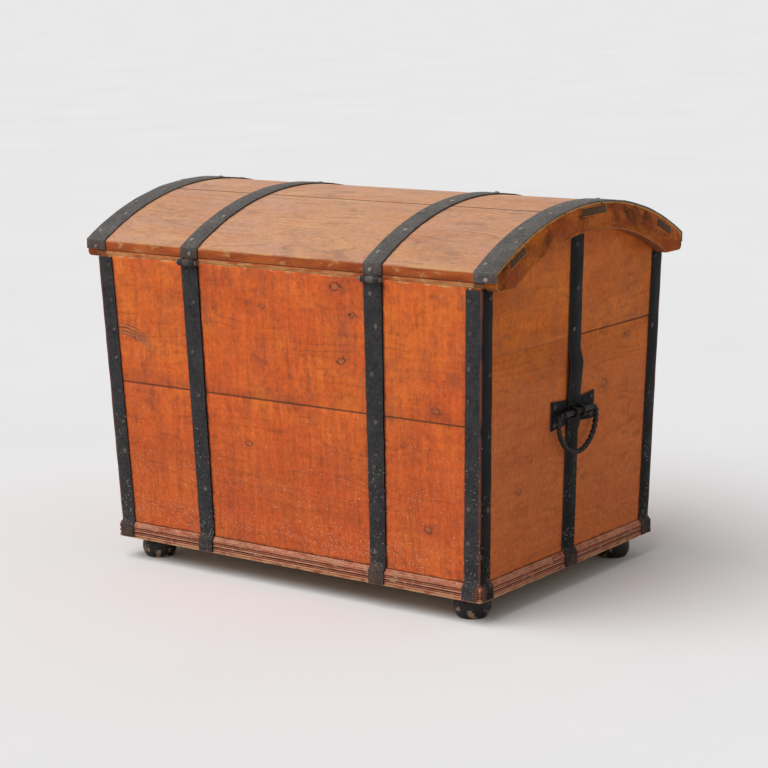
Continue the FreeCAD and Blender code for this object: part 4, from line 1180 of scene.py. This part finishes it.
@dataclass
class Workshop:
    """Holds the finishes and turns CAD nodes into finished pieces."""

    fx: Effects = field(default_factory=Effects)
    coats: dict[str, bpy.types.Material] = field(default_factory=dict)

    def coat(self, finish: Finish) -> bpy.types.Material:
        """Gives a finish's material, built at its first use.

        Args:
            finish: the finish.

        Returns:
            The material.
        """
        if finish.name not in self.coats:
            self.coats[finish.name] = finish.material(self.fx)
        return self.coats[finish.name]

    def paint_node(self, node: str, finish: Finish) -> None:
        """Gives a CAD node that stays a finish.

        Args:
            node: the node's name.
            finish: its finish.
        """
        piece = frame["nodes"][node]
        piece.data.materials.clear()
        piece.data.materials.append(self.coat(finish))
        LOG.info("kept %s in %s", node, finish.name)

    def place(self, mesh: bpy.types.Mesh, body: str, finish: Finish) -> bpy.types.Object:
        """Puts a mesh into the scene as a piece of the same name.

        Args:
            mesh: the piece's mesh, already in place.
            body: the body that carries it.
            finish: its finish.

        Returns:
            The piece.
        """
        mesh.materials.clear()
        mesh.materials.append(self.coat(finish))
        piece = bpy.data.objects.new(mesh.name, mesh)
        bpy.context.scene.collection.objects.link(piece)
        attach(piece, body)
        LOG.info("made %s on %s: %d faces", mesh.name, body, len(mesh.polygons))
        return piece

    def ease(self, node: str, finish: Finish, easing: Easing) -> None:
        """Replaces a CAD node by its eased copy.

        Args:
            node: the node's name.
            finish: the piece's finish.
            easing: how its edges are eased.
        """
        source = frame["nodes"][node]
        piece = self.place(easing.mesh(source.data, f"{node}_worn"), source["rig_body"], finish)
        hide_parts(node)


SIDE_PAINT = BoardPaint(
    name="side_paint_orange_red", slot="side_paint", grain=GrainWay.ALONG_X, paint=(0.67, 0.132, 0.030),
    deep=(0.60, 0.104, 0.029), mottle=(0.31, 0.082, 0.044), glow=(0.75, 0.195, 0.036), dusk=(0.52, 0.098, 0.030),
    worn=(0.66, 0.36, 0.15), spatter=(0.68, 0.38, 0.25), joint_z=BACK_JOINT_Z, joint_left=0.9, top_z=SEAM_Z,
    mottled=0.72, stroked=0.72, grained=0.13, spattered=0.9, strap=(STRAP_PLACE, STRAP_HALF), span=(0.4244, SEAM_REACH),
    knots=((-0.129, 0.584, 0.0085), (-0.137, 0.4495, 0.0075), (-0.167, 0.535, 0.006), (0.362, 0.4475, 0.006),
           (0.044, 0.5335, 0.004), (-0.345, 0.378, 0.007), (0.09, 0.27, 0.006), (-0.32, 0.16, 0.007)),
    splits=((0.363, 0.452),),
)
FRONT_PAINT = replace(
    SIDE_PAINT, name="front_paint_orange_red", splits=(),
    knots=((0.118, 0.571, 0.007), (-0.301, 0.498, 0.008), (0.334, 0.252, 0.006), (-0.052, 0.305, 0.005),
           (0.05, 0.47, 0.004)),
)
END_PAINT = BoardPaint(
    name="end_paint_brown_orange", slot="end_paint", grain=GrainWay.ALONG_Y, paint=(0.595, 0.144, 0.021),
    deep=(0.49, 0.115, 0.025), mottle=(0.32, 0.098, 0.04), glow=(0.63, 0.185, 0.034), dusk=(0.50, 0.132, 0.048),
    worn=(0.55, 0.32, 0.16), spatter=(0.6, 0.42, 0.3), joint_z=END_JOINT_Z, joint_left=0.12, top_z=9.0,
    mottled=0.6, stroked=0.16, grained=0.14, spattered=0.12, strap=((0.0, 0.0), (END_STRAP_HALF, END_STRAP_HALF)),
    span=(0.2878, SEAM_DEPTH),
    knots=((-0.19, 0.455, 0.006), (-0.112, 0.372, 0.008), (0.17, 0.22, 0.006), (-0.045, 0.205, 0.005),
           (0.1, 0.42, 0.004)),
)
LID_PAINT = LidPaint(
    name="lid_paint_faded", slot="lid_paint", tan=(0.58, 0.295, 0.16), pink=(0.54, 0.285, 0.185),
    straw=(0.70, 0.44, 0.225), strong=(0.50, 0.165, 0.058), scuff=(0.32, 0.19, 0.145), rim=(0.50, 0.118, 0.026),
    rim_deep=(0.30, 0.06, 0.016), worn=(0.60, 0.34, 0.14),
    marks=((0.056, 0.178, 0.022), (0.015, 0.245, 0.02), (-0.286, 0.238, 0.04), (0.34, 0.2, 0.06), (0.29, 0.24, 0.045),
           (-0.08, -0.2, 0.03)),
)
CLEAT_VARNISH = CleatVarnish(
    name="cleat_varnish_brown", slot="cleat_varnish", honey=(0.45, 0.112, 0.011), brown=(0.26, 0.05, 0.0065),
    stain=(0.06, 0.02, 0.006), under=(0.17, 0.062, 0.034), worn=(0.58, 0.30, 0.085),
)
MOULDING_PAINT = MouldingPaint(
    name="moulding_paint_red_brown", slot="moulding_paint", paint=(0.38, 0.094, 0.041), deep=(0.22, 0.054, 0.026),
    pale=(0.62, 0.33, 0.215), bare=(0.46, 0.26, 0.15),
)
BARE_PINE = BarePine(name="bare_pine_aged", slot="bare_pine")
FOOT_BLACK = FootBlack(
    name="foot_black_chipped", slot="foot_black", paint=(0.009, 0.008, 0.008),
    wood=((0.34, 0.24, 0.16), (0.2, 0.1, 0.05)), chipped=0.03,
)
WALL_IRON = BlackIron(
    name="wall_iron_black", base=(0.027, 0.0265, 0.029), sheen=(0.047, 0.044, 0.045), rust=(0.10, 0.062, 0.046),
    rubbed=(0.13, 0.083, 0.066), rusted=0.0, spattered=0.4, rough=0.5, sooty=0.12, low_rust=0.088,
)
CORNER_IRON = replace(WALL_IRON, name="corner_iron_black", arris=0.8)
LID_IRON = BlackIron(
    name="lid_iron_grey", base=(0.075, 0.069, 0.066), sheen=(0.125, 0.113, 0.105), rust=(0.085, 0.05, 0.036),
    rubbed=(0.28, 0.23, 0.19), rusted=0.02, rough=0.5, low_rust=0.636,
)
# The ring's pale rubbed edges are worn iron and also painted glints along its twist.
RING_IRON = BlackIron(
    name="ring_iron_rubbed_glints", base=(0.009, 0.008, 0.0075), sheen=(0.026, 0.022, 0.019), rust=(0.06, 0.036, 0.025),
    rubbed=(0.36, 0.29, 0.22), rusted=0.02, rough=0.34, shine=0.14,
)
HINGE_IRON = BlackIron(
    name="hinge_iron_rusty", base=(0.10, 0.072, 0.058), sheen=(0.16, 0.115, 0.09), rust=(0.22, 0.11, 0.06),
    rubbed=(0.32, 0.24, 0.18), rusted=0.14, rough=0.5,
)
LOCK_IRON = BlackIron(
    name="lock_iron_dark", slot="lock_iron", base=(0.06, 0.058, 0.055), sheen=(0.1, 0.095, 0.09),
    rust=(0.15, 0.08, 0.05), rubbed=(0.3, 0.28, 0.25), rusted=0.04, rough=0.4, shine=0.3,
)
WALL_NAIL = BlackIron(
    name="nail_iron_dark", base=(0.04, 0.036, 0.035), sheen=(0.16, 0.135, 0.12), rust=(0.16, 0.09, 0.06),
    rubbed=(0.2, 0.18, 0.16), rusted=0.04, rough=0.45, sooty=0.6,
)
LID_NAIL = BlackIron(
    name="nail_iron_rubbed", base=(0.15, 0.13, 0.115), sheen=(0.34, 0.30, 0.26), rust=(0.2, 0.11, 0.07),
    rubbed=(0.36, 0.33, 0.3), rusted=0.04, rough=0.45,
)
FLOOR_GREY = FloorGrey(name="studio_floor", slot="", tone=0.79)


@dataclass
class Carcass:
    """The boards of the body."""

    board: Easing = Easing(bevel=0.0011)
    end: Easing = Easing(bevel=0.0011, tight_z=END_JOINT_Z)

    def build(self, shop: Workshop) -> None:
        """Eases the walls and dresses the bottom.

        Args:
            shop: makes the pieces and holds their finishes.
        """
        for depth, paint in zip(DEPTHS, (SIDE_PAINT, FRONT_PAINT)):
            for level in ("upper", "lower"):
                shop.ease(f"{depth}_board_{level}", paint, self.board)
        for side in SIDES:
            for level in ("upper", "lower"):
                shop.ease(f"end_board_{level}_{side}", END_PAINT, self.end)
        for row in ROWS:
            shop.paint_node(f"bottom_board_{row}", BARE_PINE)


@dataclass
class Base:
    """The reeded moulding and the turned feet."""

    long_reed: Easing = Easing(bevel=0.0009, cut=0.009, axis=Axis.X, waver=0.0006, pitch=0.016)
    short_reed: Easing = replace(long_reed, axis=Axis.Y)
    turned: Easing = Easing(waver=0.0005, pitch=0.014)

    def build(self, shop: Workshop) -> None:
        """Eases the moulding and the feet.

        Args:
            shop: makes the pieces and holds their finishes.
        """
        for names, reed in ((DEPTHS, self.long_reed), (SIDES, self.short_reed)):
            for name in names:
                shop.ease(f"base_moulding_{name}", MOULDING_PAINT, reed)
        for depth in DEPTHS:
            for side in SIDES:
                shop.ease(f"foot_{depth}_{side}", FOOT_BLACK, self.turned)


@dataclass
class Lid:
    """The domed planks and their end cleats."""

    plank: Easing = Easing(bevel=0.0014, scribe=(SCRIBE_Z, 0.0011))
    cleat: Easing = Easing(bevel=0.0016)

    def build(self, shop: Workshop) -> None:
        """Eases the planks and cleats.

        Args:
            shop: makes the pieces and holds their finishes.
        """
        for row in ROWS:
            shop.ease(f"lid_plank_{row}", LID_PAINT, self.plank)
        for side in SIDES:
            shop.ease(f"lid_end_cleat_{side}", CLEAT_VARNISH, self.cleat)


@dataclass
class Ironwork:
    """Straps, corner irons, hinges, handles and the lock."""

    upright: Easing = Easing(bevel=0.0008, cut=0.014, axis=Axis.Z, waver=0.0007, pitch=0.035)
    arched: Easing = replace(upright, axis=Axis.Y)
    small: Easing = Easing(bevel=0.0007)
    twisted: Easing = Easing(crease=24.0)
    plain: Easing = Easing()

    def build(self, shop: Workshop) -> None:
        """Eases the ironwork and dresses the lock.

        Args:
            shop: makes the pieces and holds their finishes.
        """
        for side in SIDES:
            for depth in DEPTHS:
                shop.ease(f"corner_iron_{depth}_{side}", CORNER_IRON, self.upright)
                shop.ease(f"{depth}_strap_{side}", WALL_IRON, self.upright)
            for name, finish, easing in (
                ("end_strap", WALL_IRON, self.upright), ("lid_strap", LID_IRON, self.arched),
                ("lid_end_strap", LID_IRON, self.arched), ("hinge_pin", HINGE_IRON, self.plain),
                ("handle_plate", WALL_IRON, self.small), ("handle_staples", RING_IRON, self.plain),
                ("handle_ring", RING_IRON, self.twisted),
            ):
                shop.ease(f"{name}_{side}", finish, easing)
        for node in ("lock_case", "lock_bolt", "lock_staple"):
            shop.paint_node(node, LOCK_IRON)


@dataclass
class Nails:
    """Hand-made nails through the ironwork, set by Geometry Nodes, one mesh for each body.

    Attributes:
        head_radius, head_height: the size of a head.
        least, most: how far the heads vary from that size.
        dents, dent: how fine and how deep they are hammered.
        seed: starts the random draws.
        strap_rows, corner_rows, end_rows: the heights of the nails.
        corner_in: how far from the corner they are, on the long walls and on the ends.
        plate_y, plate_rows: the nails of a handle plate.
        arc: half the angle that a row over the dome spans, in degrees.
        lap_z: the height of the nails in the straps' laps.
        lid_rows: a lid strap, its place along X, how far its nails stand aside, and their count.
        strap_aside, end_aside: how far nails stand beside the middle of a wall strap, least and most.
        lid_aside: the same on the lid, as shares of the row's own.
        stray: how far a nail strays along a strap or a lap.
        corner_stray, corner_end_stray: how far a corner's nails stray up and aside, on long walls and on ends.
        turn_stray: how far a nail strays over the dome, in degrees.
        ray: how far from the dome's centre the search for the lid's surface starts.
    """

    head_radius: float = 0.0048
    head_height: float = 0.0022
    least: Triple = (0.75, 0.75, 0.7)
    most: Triple = (1.2, 1.2, 1.25)
    dents: float = 420.0
    dent: float = 0.0022
    seed: int = 7
    strap_rows: tuple[float, ...] = (0.583, 0.525, 0.434, 0.345, 0.262, 0.170, 0.098)
    corner_rows: tuple[float, ...] = (0.585, 0.523, 0.461, 0.399, 0.337, 0.275, 0.213, 0.151, 0.098)
    end_rows: tuple[float, ...] = (0.648, 0.566, 0.492, 0.247, 0.178, 0.102)
    corner_in: tuple[float, float] = (0.0225, 0.0215)
    plate_y: float = 0.062
    plate_rows: tuple[float, ...] = (0.322, 0.356)
    arc: float = 29.5
    lap_z: float = 0.621
    lid_rows: tuple[tuple[str, float, float, int], ...] = (
        ("lid_strap", LID_STRAP_X, 0.009, 9), ("lid_end_strap", LID_END_STRAP_X, 0.012, 11)
    )
    strap_aside: tuple[float, float] = (0.003, 0.008)
    end_aside: tuple[float, float] = (0.003, 0.009)
    lid_aside: tuple[float, float] = (0.4, 1.0)
    stray: float = 0.006
    corner_stray: tuple[float, float] = (0.005, 0.002)
    corner_end_stray: tuple[float, float] = (0.012, 0.003)
    turn_stray: float = 0.8
    ray: float = 0.8

    def build(self, shop: Workshop) -> None:
        """Finds the nail spots and sets the nails.

        Args:
            shop: makes the pieces and holds their finishes.
        """
        tree = self._tree()
        for body, spots, finish in (
            ("carcass", self._body_spots(), WALL_NAIL), ("lid", self._lid_spots(), LID_NAIL)
        ):
            shop.place(self._set(tree, f"nails_{body}", spots, shop.coat(finish)), body, finish)

    @staticmethod
    def _probe(node: str) -> BVHTree:
        """Makes a tree that finds points on a node's eased piece."""
        mesh = bpy.data.objects[f"{node}_worn"].data
        return BVHTree.FromPolygons([vert.co for vert in mesh.vertices], [face.vertices[:] for face in mesh.polygons])

    @staticmethod
    def _hit(tree: BVHTree, start: Triple | Vector, way: Vector) -> list[Spot]:
        """Finds where a ray first meets a piece.

        Args:
            tree: the piece.
            start: where the ray starts.
            way: its direction.

        Returns:
            The point and the outward normal, or nothing.
        """
        point, normal, _, _ = tree.ray_cast(Vector(start), way)
        if point is None:
            return []
        return [(point, normal if normal.dot(way) < 0 else -normal)]

    def _body_spots(self) -> list[Spot]:
        """The nails of the body's straps, corner irons and handle plates.

        Returns:
            Points and outward directions.
        """
        pick = random.Random(self.seed)
        spots: list[Spot] = []
        (up, aside), (end_up, end_aside) = self.corner_stray, self.corner_end_stray
        (foot_x, seam_x), (long_in, end_in) = STRAP_PLACE, self.corner_in
        for sx, side in zip((-1, 1), SIDES):
            from_end = Vector((-sx, 0, 0))
            for sy, depth in zip((1, -1), DEPTHS):
                from_side = Vector((0, -sy, 0))
                strap = self._probe(f"{depth}_strap_{side}")
                for row, z in enumerate(self.strap_rows):
                    x = foot_x + (seam_x - foot_x) * (z - FOOT_Z) / (SEAM_Z - FOOT_Z)
                    x = sx * x + (-1) ** row * pick.uniform(*self.strap_aside)
                    spots += self._hit(strap, (x, sy, z + pick.uniform(-self.stray, self.stray)), from_side)
                iron = self._probe(f"corner_iron_{depth}_{side}")
                for z in self.corner_rows:
                    z += pick.uniform(-up, up)
                    x = sx * (wall_reach(z) - long_in + pick.uniform(-aside, aside))
                    spots += self._hit(iron, (x, sy, z), from_side)
                for z in self.corner_rows[::2]:
                    z += pick.uniform(-end_up, end_up)
                    y = MID_Y + sy * (wall_depth(z) - end_in + pick.uniform(-end_aside, end_aside))
                    spots += self._hit(iron, (sx, y, z), from_end)
            strap = self._probe(f"end_strap_{side}")
            for row, z in enumerate(self.end_rows):
                y = MID_Y + (-1) ** row * pick.uniform(*self.end_aside)
                spots += self._hit(strap, (sx, y, z), from_end)
            plate = self._probe(f"handle_plate_{side}")
            for y in (-self.plate_y, self.plate_y):
                for z in self.plate_rows:
                    spots += self._hit(plate, (sx, MID_Y + y, z), from_end)
        return spots

    def _lid_spots(self) -> list[Spot]:
        """The nails of the lid's straps, over the dome and down the laps.

        Returns:
            Points and outward directions.
        """
        pick = random.Random(self.seed + 1)
        spots: list[Spot] = []
        for sx, side in zip((-1, 1), SIDES):
            for name, place, aside, count in self.lid_rows:
                strap, x = self._probe(f"{name}_{side}"), sx * place
                for row in range(count):
                    turn = -self.arc + 2.0 * self.arc * row / (count - 1)
                    turn += pick.uniform(-self.turn_stray, self.turn_stray)
                    out = Vector((0.0, math.sin(math.radians(turn)), math.cos(math.radians(turn))))
                    base = Vector((x + (-1) ** row * pick.uniform(*self.lid_aside) * aside, LID_MID_Y, DOME_Z))
                    spots += self._hit(strap, base + out * self.ray, -out)
                for sy in (-1, 1):
                    along = x + pick.uniform(-self.stray, self.stray)
                    spots += self._hit(strap, (along, sy, self.lap_z), Vector((0, -sy, 0)))
        return spots

    def _tree(self) -> bpy.types.GeometryNodeTree:
        """Wires the tree that sets a hammered head on every point, along its stored direction.

        Returns:
            The node tree.
        """
        tree = bpy.data.node_groups.new("hammered_nails", "GeometryNodeTree")
        for name, kind in (
            ("Geometry", "Geometry"), ("Head Radius", "Float"), ("Head Height", "Float"), ("Seed", "Int"),
            ("Material", "Material"),
        ):
            tree.interface.new_socket(name, in_out="INPUT", socket_type=f"NodeSocket{kind}")
        tree.interface.new_socket("Geometry", in_out="OUTPUT", socket_type="NodeSocketGeometry")
        g = Graph(tree)
        points, radius, height, seed, material, *_ = g.node("NodeGroupInput", {})
        ball = g.node("GeometryNodeMeshUVSphere", {"Segments": 9, "Rings": 6, "Radius": 1.0})[0]
        head = g.node("GeometryNodeTransform", {"Geometry": ball, "Scale": g.join(radius, radius, height)})[0]
        facing = g.node("GeometryNodeInputNamedAttribute", {"Name": "facing"}, data_type="FLOAT_VECTOR")[0]
        turn = g.node("FunctionNodeAlignRotationToVector", {"Vector": facing}, axis="Z")[0]
        sizes = {"Min": self.least, "Max": self.most, "Seed": seed}
        vary = g.node("FunctionNodeRandomValue", sizes, data_type="FLOAT_VECTOR")[0]
        sown = {"Points": points, "Instance": head, "Rotation": turn, "Scale": vary}
        heads = g.node("GeometryNodeInstanceOnPoints", sown)[0]
        heads = g.node("GeometryNodeRealizeInstances", {"Geometry": heads})[0]
        rough = g.node("ShaderNodeTexNoise", {"Scale": self.dents})[1]
        shift = g.node("ShaderNodeVectorMath", {0: rough, 1: (0.5, 0.5, 0.5)}, operation="SUBTRACT")[0]
        shift = g.node("ShaderNodeVectorMath", {0: shift, "Scale": self.dent}, operation="SCALE")[0]
        heads = g.node("GeometryNodeSetPosition", {"Geometry": heads, "Offset": shift})[0]
        heads = g.node("GeometryNodeSetMaterial", {"Geometry": heads, "Material": material})[0]
        g.node("NodeGroupOutput", {0: heads})
        return tree

    def _set(
        self, tree: bpy.types.GeometryNodeTree, name: str, spots: list[Spot], material: bpy.types.Material
    ) -> bpy.types.Mesh:
        """Sets the nails of one body.

        Args:
            tree: the tree that sets a head on every point.
            name: the new mesh's name.
            spots: points and outward directions.
            material: the material of the heads.

        Returns:
            The plain mesh of all its nail heads.
        """
        points = bpy.data.meshes.new(f"{name}_points")
        points.from_pydata([point for point, _ in spots], [], [])
        facing = points.attributes.new("facing", "FLOAT_VECTOR", "POINT")
        facing.data.foreach_set("vector", [part for _, way in spots for part in way])
        carrier = bpy.data.objects.new(f"{name}_points", points)
        bpy.context.scene.collection.objects.link(carrier)
        modifier = carrier.modifiers.new("nails", "NODES")
        modifier.node_group = tree
        values = {
            "Head Radius": self.head_radius, "Head Height": self.head_height, "Seed": self.seed, "Material": material
        }
        for item in tree.interface.items_tree:
            if item.in_out == "INPUT" and item.name in values:
                modifier[item.identifier] = values[item.name]
        seen = carrier.evaluated_get(bpy.context.evaluated_depsgraph_get())
        mesh = bpy.data.meshes.new_from_object(seen)
        mesh.name = name
        carrier.modifiers.clear()
        bpy.data.objects.remove(carrier)
        mesh.shade_smooth()
        return mesh


@dataclass
class Studio:
    """The floor, the light and the camera of the photograph; angles are in degrees, lens and sensor in millimetres."""

    floor_half: float = 90.0
    key_strength: float = 2.2
    key_way: Triple = (0.25, 0.45, 0.86)
    key_far: float = 4.0
    key_spread: float = 55.0
    sky: float = 0.42
    backdrop: float = 0.80
    eye: Triple = (-2.5713, 3.39925, 1.1752)
    yaw: float = -52.911
    pitch: float = -11.06
    roll: float = -1.12
    lens: float = 104.37
    sensor: float = 36.0

    def build(self, shop: Workshop) -> None:
        """Lays the floor and sets the light and the camera.

        Args:
            shop: makes the pieces and holds their finishes.
        """
        self._floor(shop)
        self._light()
        self._sky()
        self._camera()
        bpy.context.scene.view_settings.view_transform = "Standard"

    @staticmethod
    def _stand(name: str, data: bpy.types.ID) -> bpy.types.Object:
        """Puts an object that isn't a piece into the scene.

        Args:
            name: its name.
            data: its mesh, lamp or camera.

        Returns:
            The object.
        """
        thing = bpy.data.objects.new(name, data)
        bpy.context.scene.collection.objects.link(thing)
        return thing

    def _floor(self, shop: Workshop) -> None:
        """Lays a pale floor.

        Args:
            shop: makes the pieces and holds their finishes.
        """
        mesh = bpy.data.meshes.new("studio_floor")
        corners = ((-1, -1), (1, -1), (1, 1), (-1, 1))
        mesh.from_pydata([(x * self.floor_half, y * self.floor_half, 0) for x, y in corners], [], [(0, 1, 2, 3)])
        mesh.materials.append(shop.coat(FLOOR_GREY))
        self._stand("studio_floor", mesh)

    def _light(self) -> None:
        """Hangs one broad lamp."""
        lamp = bpy.data.lights.new("key_light", "SUN")
        lamp.angle = math.radians(self.key_spread)
        lamp.energy = self.key_strength
        way = Vector(self.key_way)
        turn = (-way).to_track_quat("-Z", "Y").to_matrix().to_4x4()
        self._stand("key_light", lamp).matrix_world = Matrix.Translation(self.key_far * way) @ turn

    def _sky(self) -> None:
        """Sets a dim sky that the camera and reflections see as pale."""
        world = bpy.data.worlds.new("studio_sky")
        world.use_nodes = True
        bpy.context.scene.world = world
        g = Graph(world.node_tree)
        path = {wire.socket.name: wire for wire in g.node("ShaderNodeLightPath", {})}
        seen = path["Is Camera Ray"] | path["Is Glossy Ray"] | path["Is Transmission Ray"]
        back = world.node_tree.nodes["Background"]
        g.feed(back.inputs["Strength"], seen.ramp(0.0, 1.0, self.sky, self.backdrop))
        g.feed(back.inputs["Color"], (1.0, 1.0, 1.0))

    def _camera(self) -> None:
        """Sets the camera at the photograph's view."""
        yaw, pitch, roll = (math.radians(turn) for turn in (self.yaw, self.pitch, self.roll))
        ahead = Vector((math.cos(pitch) * math.cos(yaw), math.cos(pitch) * math.sin(yaw), math.sin(pitch)))
        right = Vector((math.sin(yaw), -math.cos(yaw), 0.0))
        up = right.cross(ahead)
        across = right * math.cos(roll) + up * math.sin(roll)
        upright = up * math.cos(roll) - right * math.sin(roll)
        data = bpy.data.cameras.new("photo_camera")
        data.lens, data.sensor_width = self.lens, self.sensor
        camera = self._stand("photo_camera", data)
        turn = Matrix((across, upright, -ahead)).transposed().to_4x4()
        camera.matrix_world = Matrix.Translation(Vector(self.eye)) @ turn
        bpy.context.scene.camera = camera


def main() -> None:
    """Builds the chest's pieces in order, then the studio."""
    shop = Workshop()
    for assembly in (Carcass(), Base(), Lid(), Ironwork(), Nails(), Studio()):
        LOG.info("building %s", type(assembly).__name__)
        assembly.build(shop)


if __name__ == "__main__":
    main()
